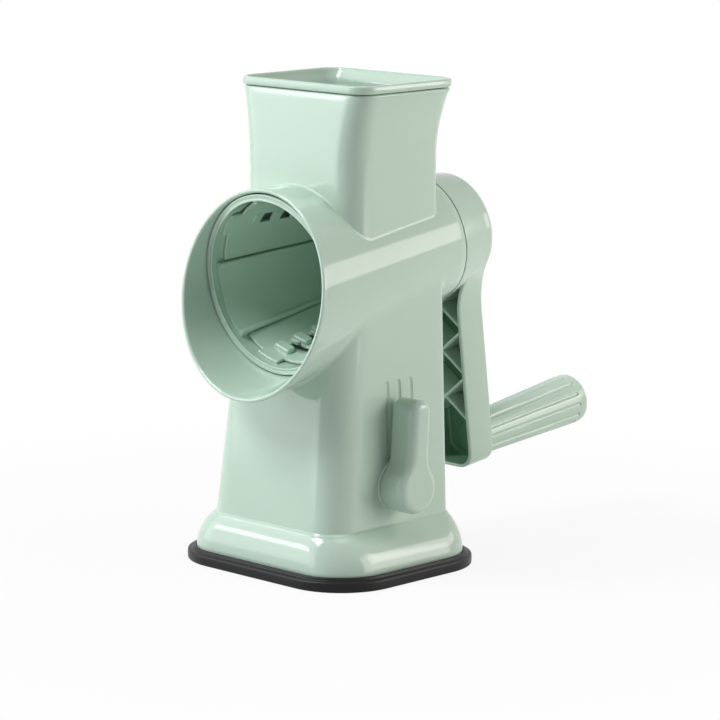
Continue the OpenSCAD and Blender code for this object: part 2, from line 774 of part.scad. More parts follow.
module bearing_bush() {
    color(white_plastic) on_axis() difference() {
        union() {
            rod(wall_inside_s - bush_flange_t, wall_inside_s, bush_flange_d);
            rod(wall_inside_s - bush_flange_t, bush_back, bush_d);
        }
        rod(wall_inside_s - bush_flange_t - over, bush_back + over, journal_d + 2 * run_gap);
    }
}

module shaft_washer() {
    color(white_plastic) on_axis() difference() {
        rod(bush_back + washer_gap, bush_back + washer_gap + washer_t, hub_boss_d);
        rod(bush_back - over, bush_back + washer_t + over, journal_d + 2 * fit);
    }
}

// Outline of the arm, inset by d: a bar with a rounded foot, whose flanks sweep
// out towards the hub and end inside it on a straight edge
function arm_outline(d) = let (h = arm_half - d, r = arm_root_r - d, k = arm_fillet_r + d,
    v = sqrt(pow(r + k, 2) - pow(h + k, 2)), a = atan2(v, h + k), q = arm_corner_r - d, e = arm_end - d) concat(
    [for (i = [0:flank_steps]) let (w = a * (1 - i / flank_steps) - 180) [h + k + k * cos(w), v + k * sin(w)]],
    [for (i = [0:flank_steps]) let (w = 90 * i / flank_steps) [h - q + q * cos(w), e - q + q * sin(w)]],
    [for (i = [0:flank_steps]) let (w = 90 + 90 * i / flank_steps) [q - h + q * cos(w), e - q + q * sin(w)]],
    [for (i = [0:flank_steps]) let (w = -a * i / flank_steps) [-(h + k) + k * cos(w), v + k * sin(w)]]);

hub_slope = (barrel_back_d - hub_back_d) / 2 / hub_depth;
function hub_r(s) = barrel_back_d / 2 - (s - hub_front) * hub_slope;
arm_root_r = hub_r(hub_back) - arm_wall;
cavity_start = hub_r(arm_front) + arm_wall;
// Outline of the arm's hollow below the hub, drawn outwards by d
function hollow_outline(d) = let (h = arm_half - arm_wall + d, e = arm_end - arm_wall + d,
    q = arm_corner_r - arm_wall + d, top = cavity_start - d) concat([[-h, top], [h, top]],
    [for (i = [0:flank_steps]) let (w = 90 * i / flank_steps) [h - q + q * cos(w), e - q + q * sin(w)]],
    [for (i = [0:flank_steps]) let (w = 90 + 90 * i / flank_steps) [q - h + q * cos(w), e - q + q * sin(w)]]);
arm_levels = concat([[arm_front, 0.4], [arm_front + 0.4, 0]],
    [for (i = [0:round_levels]) let (w = 90 * i / round_levels)
        [hub_back - arm_step - arm_round + arm_round * sin(w), arm_round * (1 - cos(w))]]);

module hub_solid() {
    round_r = hub_r(hub_back - hub_rim_r);
    rotate_extrude($fn = round_fn) polygon(concat(
        [[0, hub_front], [hub_r(hub_front) - hub_seam, hub_front], [hub_r(hub_front), hub_front + hub_seam]],
        [for (i = [0:arc_steps]) let (w = 90 * i / arc_steps)
            [round_r - hub_rim_r * (1 - cos(w)), hub_back - hub_rim_r + hub_rim_r * sin(w)]],
        [[0, hub_back]]));
}

module hub_hollow() {
    round_r = hub_r(hub_back - hub_rim_r) - hub_wall;
    rotate_extrude($fn = round_fn) polygon([[0, hub_front - over],
        [hub_r(hub_front) - hub_wall, hub_front - over], [round_r, hub_back - hub_rim_r],
        [round_r - arm_wall, boss_root], [0, boss_root]]);
}

module crank_arm() {
    color(mint) on_axis() difference() {
        union() {
            difference() {
                union() {
                    difference() {
                        loft([for (l = arm_levels) lift(arm_outline(l[1]), l[0])]);
                        translate([0, 0, arm_front - over]) linear_extrude(height = boss_root - arm_front + over)
                            polygon(hollow_outline(0));
                    }
                    hub_solid();
                }
                hub_hollow();
            }
            rod(boss_front, boss_root + arm_wall / 2, hub_boss_d);
            translate([0, crank_r, 0]) rod(arm_front + rib_recess, boss_root + arm_wall / 2, axle_boss_d);
            intersection() {
                for (i = [0:rib_cells - 1]) for (side = [-1, 1]) rib(i, side);
                translate([0, 0, arm_front]) linear_extrude(height = boss_root - arm_front + arm_wall / 3)
                    polygon(hollow_outline(arm_wall / 2));
            }
        }
        translate([-square_w / 2 - screw_gap, -square_w / 2 - screw_gap, boss_front - over])
            cube([square_w + 2 * screw_gap, square_w + 2 * screw_gap, shaft_back - boss_front + over + fit]);
        rod(boss_front, boss_root - arm_wall, screw_d + 2 * screw_gap);
        translate([0, crank_r, 0]) {
            rod(arm_front - over, hub_back + over, pin_d + 2 * screw_gap);
            rod(arm_front - over, boss_root - axle_head_h, axle_head_d + 2 * fit);
        }
    }
}

// One rib of the crossed pattern: cell i, rising to the left or right
module rib(i, side) {
    y0 = rib_first + i * rib_pitch;
    length = norm([2 * arm_half, rib_pitch]);
    translate([0, y0 + rib_pitch / 2, arm_front + rib_recess])
        rotate([0, 0, side * atan2(rib_pitch, 2 * arm_half)])
        translate([-length / 2, -rib_t / 2, 0]) cube([length, rib_t, boss_root - arm_front - rib_recess + fit]);
}

module crank_screw() {
    color(steel) on_axis() {
        rod(shaft_front - screw_head_h, shaft_front, screw_head_d);
        rod(shaft_front, boss_root - arm_wall - fit, screw_d);
    }
}

module at_grip() {
    on_axis() translate([0, crank_r, 0]) children();
}

module grip_axle() {
    color(steel) at_grip() {
        rod(boss_root - axle_head_h - axle_head_h + fit, boss_root - axle_head_h, axle_head_d);
        rod(boss_root - axle_head_h, grip_pin_end, pin_d);
    }
}

module grip_collar() {
    color(mint) at_grip() difference() {
        rod(arm_back + collar_gap, grip_start - collar_gap, grip_near_d + collar_over);
        rod(arm_back - over, grip_start + over, pin_d + 2 * fit);
    }
}

function grip_r(s) = let (t = min((s - grip_start) / (grip_len * grip_full_share), 1))
    mix(grip_near_d, grip_far_d, t) / 2;
grip_steps = 5;
grip_rings = 8;

module grip() {
    far = grip_far_d / 2;
    full_s = grip_start + grip_len * grip_full_share;
    lean = atan2((grip_far_d - grip_near_d) / 2, grip_len * grip_full_share);
    color(mint) at_grip() difference() {
        rotate_extrude($fn = round_fn) polygon(concat(
            [[0, grip_start], [grip_near_d / 2 - wall / 4, grip_start], [grip_near_d / 2, grip_start + wall / 4],
                [far, full_s]],
            [for (i = [0:grip_rings]) let (w = 90 * i / grip_rings)
                [far - grip_round * (1 - cos(w)), grip_end - grip_round / 2 + grip_round / 2 * sin(w)]],
            [[0, grip_end]]));
        for (i = [0:flutes - 1]) rotate([0, 0, 360 * i / flutes])
            translate([grip_near_d / 2 + flute_sink, 0, grip_start]) rotate([0, lean, 0]) {
                translate([0, 0, -over]) cylinder(h = grip_len - flute_end_gap + over, r = flute_r, $fn = hull_fn);
                translate([0, 0, grip_len - flute_end_gap]) sphere(r = flute_r, $fn = hull_fn);
            }
        rod(grip_start - over, grip_start + grip_bore_len, pin_d + 2 * run_gap);
        rod(grip_clip_s - clip_pocket_gap, grip_start + grip_bore_len, grip_clip_d + 2 * clip_pocket_gap);
    }
}

module grip_clip() {
    color(steel) at_grip() difference() {
        rod(grip_clip_s, grip_clip_s + clip_t, grip_clip_d);
        rod(grip_clip_s - over, grip_clip_s + clip_t + over, pin_d + 2 * cam_bore_gap);
    }
}

body_shell();
base_skirt();
base_plate();
base_screws();
suction_pad();
suction_stem();
cam_shaft();
suction_cam();
suction_lever();
shaft_clip();
food_pusher();
drum_frame();
shredding_plate(0);  // shredding_plate_1
shredding_plate(1);  // shredding_plate_2
shredding_plate(2);  // shredding_plate_3
drive_shaft();
drum_clip();
bearing_bush();
shaft_washer();
crank_arm();
crank_screw();
grip_axle();
grip_collar();
grip();
grip_clip();
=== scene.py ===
# %% [markdown]
# # A rotary cabbage shredder, surface by surface
# The tool is a handful of thin glossy mouldings in one pale green, on a black rubber foot. The packed
# solids give every piece its place and its motion. This lesson gives the pieces that are seen their
# smooth skins: each is a function of two parameters, worked out as whole arrays with numpy.

import bpy
import numpy as np
from mathutils import Matrix


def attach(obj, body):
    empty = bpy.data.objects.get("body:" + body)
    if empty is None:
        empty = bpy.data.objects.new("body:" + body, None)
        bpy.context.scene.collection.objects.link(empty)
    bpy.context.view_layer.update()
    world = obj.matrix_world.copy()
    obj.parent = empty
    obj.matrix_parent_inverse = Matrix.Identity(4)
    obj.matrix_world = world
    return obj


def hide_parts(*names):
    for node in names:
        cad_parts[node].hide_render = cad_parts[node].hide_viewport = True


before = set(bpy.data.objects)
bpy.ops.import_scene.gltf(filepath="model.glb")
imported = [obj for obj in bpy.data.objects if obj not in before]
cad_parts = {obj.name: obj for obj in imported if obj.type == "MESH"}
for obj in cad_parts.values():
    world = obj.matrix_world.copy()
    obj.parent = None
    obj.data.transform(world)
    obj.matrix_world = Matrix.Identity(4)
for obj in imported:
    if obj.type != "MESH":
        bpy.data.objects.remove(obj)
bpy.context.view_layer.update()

# %% [markdown]
# ## The sizes that everything hangs on
# All lengths are in millimetres here and become metres only when a mesh is made. The barrel is a cone
# whose axis climbs 7.1 degrees towards the back. Its pieces could be made upright and turned
# afterwards, but a finished piece has to stay unturned, so every place is worked out where it lies:
# as s along the axis, an angle round it and a distance from it. Angles run from the right side (+X)
# upwards.

# %% Sizes and the barrel's axis
TILT = np.radians(7.1)
AXIS_H = 141.2
ALONG = np.array([0.0, np.cos(TILT), np.sin(TILT)])
RISE = np.array([0.0, -np.sin(TILT), np.cos(TILT)])
SIDE = np.array([1.0, 0.0, 0.0])
ORIGIN = np.array([0.0, 0.0, AXIS_H])
MOUTH_R, BACK_R, MOUTH_S, BACK_S = 47.5, 32.0, -50.6, 61.0
NARROWING = (MOUTH_R - BACK_R) / (BACK_S - MOUTH_S)
WALL = 2.1


def barrel_r(s):
    """Outer radius of the barrel: a straight line from the mouth to the back."""
    return BACK_R + (BACK_S - s) * NARROWING


def turn(n):
    """n angles evenly spread over a full turn, from 0."""
    return np.linspace(0, 2 * np.pi, n + 1)[:-1]


def on_axis(s, angle, r):
    """Point at s along the axis, turned by angle from +X towards up, r away from the axis."""
    s, angle, r = np.broadcast_arrays(*(np.asarray(v, float) for v in (s, angle, r)))
    return (ORIGIN + s[..., None] * ALONG + (r * np.cos(angle))[..., None] * SIDE
            + (r * np.sin(angle))[..., None] * RISE)


def below_axis(x, down, s):
    """Point x to the side, down from the axis square to it, s along it."""
    x, down, s = np.broadcast_arrays(*(np.asarray(v, float) for v in (x, down, s)))
    return ORIGIN + x[..., None] * SIDE - down[..., None] * RISE + s[..., None] * ALONG


print("barrel radius at the mouth and the back:", barrel_r(MOUTH_S), barrel_r(BACK_S))

# %% [markdown]
# ## From arrays to meshes
# A surface arrives as a grid of points, rows by columns. Neighbours could be joined with bmesh, one
# face after the other, but arrays do the same at once. The grid may close round a parameter that comes
# back to its start, as the angle round the barrel does.

# %% Grids and mesh objects


def new_object(name, points, faces):
    """A mesh object from points in millimetres and a list of faces (arrays of corner numbers). Faces
    with four corners are shaded smooth, and the flat ends with more corners stay flat."""
    mesh = bpy.data.meshes.new(name)
    points = points.reshape(-1, 3) * 0.001
    corner = np.concatenate([f.ravel() for f in faces]).astype(np.int32)
    count = np.concatenate([np.full(len(f), f.shape[1]) for f in faces]).astype(np.int32)
    mesh.vertices.add(len(points))
    mesh.vertices.foreach_set("co", points.ravel())
    mesh.loops.add(len(corner))
    mesh.loops.foreach_set("vertex_index", corner)
    mesh.polygons.add(len(count))
    first = np.concatenate([[0], np.cumsum(count)[:-1]]).astype(np.int32)
    mesh.polygons.foreach_set("loop_start", first)
    mesh.polygons.foreach_set("loop_total", count)
    mesh.polygons.foreach_set("use_smooth", count == 4)
    mesh.update(calc_edges=True)
    mesh.validate()
    piece = bpy.data.objects.new(name, mesh)
    bpy.context.scene.collection.objects.link(piece)
    return piece


def grid_faces(rows, columns, round_rows=False, round_columns=False):
    """Corner numbers of the faces of a grid whose point (i, j) has number i * columns + j."""
    i = np.arange(rows if round_rows else rows - 1)
    j = np.arange(columns if round_columns else columns - 1)
    i, j = (a.ravel() for a in np.meshgrid(i, j, indexing="ij"))
    a, b = i * columns, (i + 1) % rows * columns
    k = (j + 1) % columns
    return np.stack([a + j, b + j, b + k, a + k], 1)


print("a ring of 3 rows and 8 columns has", len(grid_faces(3, 8, False, True)), "faces")

# %% [markdown]
# A piece that encloses a solid has to look outwards all over. Blender can recalculate that face by
# face, but it is simpler to know: the signed volume of the faces is negative if they look inwards, and
# then they are all turned round. A stack of rings is closed at its ends by one flat face each.

# %% Closed surfaces


def signed_volume(points, faces):
    """Sum of the tetrahedra from the middle to every triangle of the faces."""
    p = points.reshape(-1, 3)
    p = p - p.mean(0)
    total = 0.0
    for f in faces:
        for k in range(1, f.shape[1] - 1):
            total += np.einsum("ij,ij->i", p[f[:, 0]], np.cross(p[f[:, k]], p[f[:, k + 1]])).sum()
    return total / 6


def outwards(points, faces):
    """The faces of a closed surface, walked the other way round if their volume is negative."""
    return [f[:, ::-1] for f in faces] if signed_volume(points, faces) < 0 else faces


def closed(name, points, faces):
    """A piece that is one closed surface."""
    return new_object(name, points, outwards(points, faces))


def many(name, blocks):
    """A piece of several closed surfaces, each given as (points, faces)."""
    points, faces, start = [], [], 0
    for p, fs in blocks:
        p = p.reshape(-1, 3)
        points.append(p)
        faces += [f + start for f in outwards(p, fs)]
        start += len(p)
    return new_object(name, np.concatenate(points), faces)


def ring_shell(name, grid):
    """A piece from a grid (round, section): a closed section carried round a closed path."""
    rows, columns = grid.shape[:2]
    return closed(name, grid, [grid_faces(rows, columns, True, True)])


def tube(grid):
    """Points and faces of a grid (level, round): rings from the first to the last, each end closed by
    one flat face. The last ring is walked backwards, so that both ends look out as the side does."""
    rows, columns = grid.shape[:2]
    first, last = np.arange(columns)[None], (rows - 1) * columns + np.arange(columns)[None, ::-1]
    return grid, [grid_faces(rows, columns, False, True), first, last]


def capped(name, grid):
    """A piece from a grid (level, round) with closed ends."""
    return closed(name, *tube(grid))


cube = np.array([[(0, 0, z), (1, 0, z), (1, 1, z), (0, 1, z)] for z in (0.0, 1.0)])
print("volume of a cube of 1 mm:", abs(signed_volume(*tube(cube))).round(6))

# %% [markdown]
# Smooth shading hides the facets of a round, but it also blurs a real corner. An Edge Split modifier
# would part the mesh there and open its surface. Marking the corner's edges as sharp leaves it closed.

# %% Sharp edges and arcs


def auto_smooth(piece, degrees=50):
    """Marks the edges as sharp where two faces meet at more than so many degrees. Sorted by edge, the
    two corners that share an edge stand side by side, and so do the two faces they belong to."""
    mesh = piece.data
    normal = np.zeros(len(mesh.polygons) * 3)
    mesh.polygons.foreach_get("normal", normal)
    normal = normal.reshape(-1, 3)
    edge_of = np.zeros(len(mesh.loops), np.int64)
    mesh.loops.foreach_get("edge_index", edge_of)
    corners = np.zeros(len(mesh.polygons), np.int64)
    mesh.polygons.foreach_get("loop_total", corners)
    order = np.argsort(edge_of, kind="stable")
    edge, face = edge_of[order], np.repeat(np.arange(len(corners)), corners)[order]
    same = edge[1:] == edge[:-1]
    cosine = np.einsum("ij,ij->i", normal[face[1:][same]], normal[face[:-1][same]])
    sharp = np.zeros(len(mesh.edges), bool)
    sharp[edge[1:][same][cosine < np.cos(np.radians(degrees))]] = True
    mark = mesh.attributes.get("sharp_edge") or mesh.attributes.new("sharp_edge", "BOOLEAN", "EDGE")
    mark.data.foreach_set("value", sharp)


def arc(centre, r, start, end, n):
    """n points on an arc in the plane, angles in degrees."""
    a = np.radians(np.linspace(start, end, n))
    return np.stack([centre[0] + r * np.cos(a), centre[1] + r * np.sin(a)], -1)


print("a quarter arc:", arc((0, 0), 1.0, 0, 90, 3).round(3).tolist())

# %% [markdown]
# ## The outline of tower, hopper, skirt, foot and pusher
# Seen from above, each of these is a trapezoid with rounded corners, wider in front. Each could start
# as a cube with bevelled edges, but then no two would have points that match. Here one function draws
# them all with the same number of points, so outlines at two heights join one to one. The side walls
# slope, so the corner arcs turn a little less than a right angle in front and a little more behind.

# %% Rounded trapezoid
CORNER_N, STRAIGHT_N = 14, 22


def side_line(front, back, y0, y1, r_front, r_back):
    """Slope of the right side wall's line, and how far to the right that line starts at y0."""
    slope = np.arctan2(front - back, (y1 - r_back) - (y0 + r_front))
    return slope, front + r_front * np.tan(slope)


def trapezoid(front, back, y0, y1, r_front, r_back):
    """Outline of n points and their outward directions. front and back are the half widths where the
    side walls touch the corner arcs, as on the solid. The right half starts in the middle of the front
    and ends in the middle of the back, and the left half is its mirror image."""
    slope, wide = side_line(front, back, y0, y1, r_front, r_back)

    def corner(y, r, start, end):
        x = wide - (y - y0) * np.tan(slope) - r / np.cos(slope)
        return arc((x, y), r, start, end, CORNER_N), np.linspace(start, end, CORNER_N)

    lean = np.degrees(slope)
    front_arc, front_out = corner(y0 + r_front, r_front, -90.0, lean)
    back_arc, back_out = corner(y1 - r_back, r_back, lean, 90.0)
    ends = np.linspace(0, 1, STRAIGHT_N // 2 + 1)[:, None]
    wall = np.linspace(0, 1, STRAIGHT_N + 1)[1:-1, None]
    start, end = np.array([0.0, y0]), np.array([0.0, y1])
    half = np.concatenate([start + (front_arc[0] - start) * ends[:-1], front_arc,
                           front_arc[-1] + (back_arc[0] - front_arc[-1]) * wall, back_arc,
                           back_arc[-1] + (end - back_arc[-1]) * ends[1:]])
    angle = np.concatenate([np.full(len(ends) - 1, -90.0), front_out, np.full(len(wall), lean),
                            back_out, np.full(len(ends) - 1, 90.0)])
    a = np.radians(np.concatenate([angle, 180.0 - angle[1:-1][::-1]]))
    points = np.concatenate([half, (half[1:-1] * [-1, 1])[::-1]])
    return points, np.stack([np.cos(a), np.sin(a)], -1)


def lift_ring(sizes, z):
    """An outline at height z as 3-D points, with its outward directions."""
    p, out = trapezoid(*sizes)
    return np.column_stack([p, np.full(len(p), z)]), np.column_stack([out, np.zeros(len(out))])


print("points round an outline:", len(trapezoid(40, 40, -40, 40, 10, 10)[0]))

# %% [markdown]
# The tower tapers in straight lines, and the hopper flares near its top. A lattice could bend a box
# that way, but its numbers would mean nothing. Here each outline size is a function of the height.

# %% Sizes of tower and hopper
CREASE_Z, TOWER_TOP = 24.0, 144.97
FLARE_Z, HOPPER_TOP = 193.0, 225.7


def tower_sizes(z):
    """The tower's outline sizes at a height: each runs straight from the crease to the tower's top."""
    t = (z - CREASE_Z) / (TOWER_TOP - CREASE_Z)
    return 43.5 - 5.6 * t, 42.0 - 10.6 * t, -41.0 + 14.4 * t, 39.6 + 7.3 * t, 15.0, 5.0


def hopper_sizes(z):
    """The hopper's outline sizes at a height: constant up to the flare, then growing to the top as a
    power of 1.8 of the height above it."""
    t = max(0.0, (z - FLARE_Z) / (HOPPER_TOP - FLARE_Z)) ** 1.8
    low = np.array([37.3, 30.0, -22.0, 47.0, 11.5, 9.0])
    high = np.array([42.0, 42.0, -19.9, 44.1, 10.5, 10.0])
    return tuple(low + (high - low) * t)


print("hopper, below the flare and at the top:", hopper_sizes(FLARE_Z), hopper_sizes(HOPPER_TOP))

# %% [markdown]
# ## Where the walls meet the barrel
# Tower and hopper run into the barrel with a small round in the corner. A boolean union with a bevel
# on its edge could make it, but such an edge has crowded points and bevels badly. Here the wall's own
# line is followed until it meets the cone, found by halving the interval, and the round spans from a
# few millimetres before that crease to a few millimetres beyond it on the cone.

# %% Cone and crease


def from_axis(p):
    """Where a point lies along the axis, how far from it, and in which direction away from it."""
    d = p - ORIGIN
    s = d @ ALONG
    across = d - s[..., None] * ALONG
    r = np.linalg.norm(across, axis=-1, keepdims=True)
    return s, r[..., 0], across / r


def to_cone(p, lift=0.0):
    """The point moved straight away from the axis until it lies on the cone, or lift above it."""
    s, _, away = from_axis(p)
    return ORIGIN + s[..., None] * ALONG + away * (barrel_r(s) + lift)[..., None]


def cone_normal(p):
    """Outward direction of the cone at its point p: away from the axis, leaning to the narrow end."""
    n = from_axis(p)[2] + ALONG * NARROWING
    return n / np.linalg.norm(n, axis=-1, keepdims=True)


def crease(start, end):
    """Point of each line from start (outside) to end (inside) that lies on the cone."""
    low, high = np.zeros(len(start)), np.ones(len(start))
    for _ in range(40):
        mid = (low + high) / 2
        s, r, _ = from_axis(start + (end - start) * mid[:, None])
        inside = r < barrel_r(s)
        low, high = np.where(inside, low, mid), np.where(inside, mid, high)
    return start + (end - start) * low[:, None]


print("a point 60 mm above the axis lies", (from_axis(ORIGIN + RISE * 60)[1] - barrel_r(0)).round(2),
      "mm outside the cone")

# %% [markdown]
# The round itself is a cubic curve from a point on the wall to a point on the cone. Its two handles
# lie along the wall and along the cone, so it flows out of both.

# %% Fillet


def fillet(start, end, outward, reach, n=9):
    """Points (outline, n, 3) of the round between the wall lines start-end and the cone: a cubic
    curve with its ends and handles along the wall and the cone. reach is how far it spreads from the
    crease on each side."""
    meet = crease(start, end)
    wall = (end - start) / np.linalg.norm(end - start, axis=1, keepdims=True)
    run = np.roll(meet, -1, 0) - np.roll(meet, 1, 0)
    away = np.cross(cone_normal(meet), run)
    away /= np.linalg.norm(away, axis=1, keepdims=True)
    away *= np.sign(np.einsum("ij,ij->i", away, outward))[:, None]
    p0, p3 = meet - wall * reach, to_cone(meet + away * reach)
    normal = cone_normal(p3)
    arrive = away - normal * np.einsum("ij,ij->i", away, normal)[:, None]
    p1, p2 = p0 + wall * reach * 0.6, p3 - arrive * reach * 0.6
    t = np.linspace(0, 1, n)[None, :, None]
    return ((1 - t) ** 3 * p0[:, None] + 3 * (1 - t) ** 2 * t * p1[:, None]
            + 3 * (1 - t) * t ** 2 * p2[:, None] + t ** 3 * p3[:, None])


TOWER_REACH, HOPPER_REACH, UNDER_SKIN = 3.2, 1.0, 0.7
print("fillets reach", TOWER_REACH, "mm on the tower and", HOPPER_REACH, "mm on the hopper")

# %% [markdown]
# ## The tower
# The tower is the hollow column between foot and barrel. It could be a tapered box with a Solidify
# wall, but the open top has to follow the cone. So it is one closed shell: up the outer wall, round
# the fillet, a short way under the barrel's skin, and down the inner wall.

# %% Tower shell
low, out_low = lift_ring(tower_sizes(CREASE_Z), CREASE_Z)
high, out_high = lift_ring(tower_sizes(TOWER_TOP), TOWER_TOP)
tower_round = fillet(low, high, out_low, TOWER_REACH)
rise = np.linspace(0, 1, 26)[:-1][None, :, None]
outer = low[:, None] + (tower_round[:, :1] - low[:, None]) * rise
under = to_cone(tower_round[:, -1], -UNDER_SKIN)[:, None]
inner_low = low - out_low * WALL
inner_top = crease(inner_low, high - out_high * WALL)
drop = np.linspace(0, 1, 4)[None, :, None]
inner = inner_top[:, None] + (inner_low - inner_top)[:, None] * drop
inner[:, 0] = to_cone(inner[:, 0], -UNDER_SKIN)
tower = ring_shell("tower_skin", np.concatenate([outer, tower_round, under, inner], 1))
print("tower:", len(tower.data.polygons), "faces")

# %% [markdown]
# ## Grooves and seat
# Behind the lever three round-ended grooves run down the wall. A bump in the material could fake
# them, but they are seen from the side and have real depth. Each is cut with a rod that lies mostly
# outside the wall, so a wide but shallow hollow stays. The lever turns on a low round seat, a short
# profile turned about the lever's pivot.

# %% Grooves behind the lever, and the seat it turns on
GROOVES_Y, GROOVE_LOW, GROOVE_HIGH = (-0.8, 7.7, 16.2), 58.5, 90.0
PIVOT_Y, PIVOT_Z = 2.0, 42.5


def wall_x(y, z):
    """x of the tower's right wall: the straight side of its outline at that height."""
    sizes = tower_sizes(z)
    slope, wide = side_line(*sizes)
    return wide - (y - sizes[2]) * np.tan(slope)


def groove(y, z0, z1, r=2.2, depth=0.8):
    """A round-ended rod along the wall: circles of r cos w, whose middles run on by r sin w at the
    ends, where w goes from nearly a right angle to 0."""
    a, b = (np.array([wall_x(y, z) + r - depth, y, z]) for z in (z0, z1))
    length = np.linalg.norm(b - a)
    run = (b - a) / length
    w = np.radians(np.linspace(-88, 0, 8))
    along = np.concatenate([r * np.sin(w), length - r * np.sin(w[::-1])])
    wide = np.concatenate([r * np.cos(w), r * np.cos(w[::-1])])
    v = turn(24)[:, None]
    across = np.cos(v) * np.cross([0, 1.0, 0], run) + np.sin(v) * np.array([0, 1.0, 0])
    return a + run * along[:, None, None] + across[None] * wide[:, None, None]


def carve(piece, grid):
    """Takes the closed form of a grid (level, round) out of a piece."""
    cutter = capped("cutter", grid)
    cut = piece.modifiers.new("cut", "BOOLEAN")
    cut.object, cut.operation, cut.solver = cutter, "DIFFERENCE", "EXACT"
    bpy.context.view_layer.objects.active = piece
    bpy.ops.object.modifier_apply(modifier="cut")
    bpy.data.objects.remove(cutter)


for y in GROOVES_Y:
    carve(tower, groove(y, GROOVE_LOW, GROOVE_HIGH))
auto_smooth(tower, 40)
v = turn(128)
seat_profile = [(41.0, 9.0), (41.0, 12.3), (43.05, 12.3), (43.3, 12.2), (43.45, 11.9), (43.45, 9.0)]
seat = ring_shell("lever_seat", np.stack(
    [np.column_stack([np.full(len(v), x), PIVOT_Y + r * np.cos(v), PIVOT_Z + r * np.sin(v)])
     for x, r in seat_profile], 1))
auto_smooth(seat)
for piece in (tower, seat):
    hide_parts("body_shell")
    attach(piece, "housing")
print("tower with grooves:", len(tower.data.polygons), "faces; seat:", len(seat.data.polygons))

# %% [markdown]
# ## The hopper
# The hopper is the square funnel that the cabbage goes into. It is made as the tower is, the other
# way up, because it meets the same cone: down the flaring outer wall and into its fillet on top of
# the barrel, then back up the inside. The top edge is a small half round, which catches a thin light.

# %% Hopper shell
LIP, STRAIGHT_Z = 0.9, 186.0
levels = np.concatenate([np.linspace(HOPPER_TOP - LIP, FLARE_Z, 16), [STRAIGHT_Z]])
rings = [lift_ring(hopper_sizes(z), z) for z in levels]
walls = [p for p, _ in rings]
inside = [p - out * WALL for p, out in rings[::-1]]
top, top_out = lift_ring(hopper_sizes(HOPPER_TOP), HOPPER_TOP - LIP)
rim = [top - top_out * (LIP - x) + [0, 0, z] for x, z in arc((0, 0), LIP, 90, 0, 6)]
rim_inside = [top - top_out * WALL + [0, 0, 0.6], top - top_out * (WALL - 0.5) + [0, 0, LIP]]
low, low_out = lift_ring(hopper_sizes(150.0), 150.0)
hopper_round = fillet(walls[-1], low, low_out, HOPPER_REACH, 7)
under = to_cone(hopper_round[:, -1], -UNDER_SKIN)
deep = to_cone(crease(inside[0], low - low_out * WALL), -WALL - 0.6)
hopper = ring_shell("hopper_skin", np.stack(
    rim + walls[1:] + list(hopper_round.swapaxes(0, 1)) + [under, deep] + inside + rim_inside, 1))
auto_smooth(hopper)
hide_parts("body_shell")
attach(hopper, "housing")
print("hopper:", len(hopper.data.polygons), "faces")

# %% [markdown]
# ## The barrel
# The barrel is a cone cut off by the mouth's slanted plane. A cone primitive cut by a boolean would
# leave the mouth's lip with a ragged row of points. Here the cone's straight line ends, for each
# angle, where it meets that plane, so the grid's last rows follow the cut exactly. The lip is a half
# round, and the grid carries on inside to the back wall and out through the hole for the bush.

# %% Barrel shell
MOUTH_SLANT = np.radians(9.5)
CUT = np.array([0.0, np.cos(MOUTH_SLANT), -np.sin(MOUTH_SLANT)])
REAR_EDGE, REAR_INSIDE = BACK_S - 0.5, 57.0
lip = WALL / 2


def cut_s(angle, inset):
    """s where the mouth's plane cuts the line at this angle on a cone that is smaller by inset. The
    line's points are s along the axis and base - s * NARROWING across, and the plane's equation is
    solved for s."""
    base = BACK_R + BACK_S * NARROWING - inset
    across = (np.cos(angle)[:, None] * SIDE + np.sin(angle)[:, None] * RISE) @ CUT
    return (MOUTH_S * ALONG @ CUT - base * across) / (ALONG @ CUT - NARROWING * across)


angle = turn(256)
s_lip = cut_s(angle, lip) + lip
sections = []
for t in np.linspace(0, 1, 40) ** 0.9:
    s = REAR_EDGE + (s_lip - REAR_EDGE) * t
    sections.append(on_axis(s, angle, barrel_r(s)))
for a in np.linspace(0, np.pi, 11)[1:-1]:
    s = s_lip - lip * np.sin(a)
    sections.append(on_axis(s, angle, barrel_r(s) - lip + lip * np.cos(a)))
for t in np.linspace(0, 1, 30):
    s = s_lip + (REAR_INSIDE - s_lip) * t
    sections.append(on_axis(s, angle, barrel_r(s) - WALL))
for s, r in ((57.5, 29.8), (57.5, 20.0), (57.5, 9.2), (57.7, 9.06), (60.8, 9.06), (61.0, 9.2),
             (61.0, 20.0), (61.0, 31.4), (60.85, 31.85)):
    sections.append(on_axis(s, angle, r))
barrel = ring_shell("barrel_skin", np.stack(sections, 1))

# The food falls through a hole as wide as the hopper's inside.
HOLE_Z, HOLE_HIGH = 150.0, 50.0
hole, hole_out = lift_ring(hopper_sizes(STRAIGHT_Z), HOLE_Z)
hole -= hole_out * WALL
carve(barrel, np.stack([hole, hole + [0, 0, HOLE_HIGH]]))
auto_smooth(barrel, 40)
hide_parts("body_shell")
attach(barrel, "housing")
print("barrel:", len(barrel.data.polygons), "faces")

# %% [markdown]
# ## Skirt
# The skirt is the bell under the tower. It is plump: its outline grows from the tower's to the foot's
# along a quarter round. A box with a big bevel would get this round on its corners but not the change
# of shape from a narrow to a wide outline, so it is a stack of outlines instead. At the top a tiny
# half-round bead meets the tower, which is the bright line all round the crease.

# %% Skirt
SKIRT_Z, BELOW_BEAD = 5.0, 23.0
SKIRT_TOP = np.array(tower_sizes(CREASE_Z))
SKIRT_FOOT = np.array([55.7, 55.7, -47.2, 47.2, 22.0, 22.0])


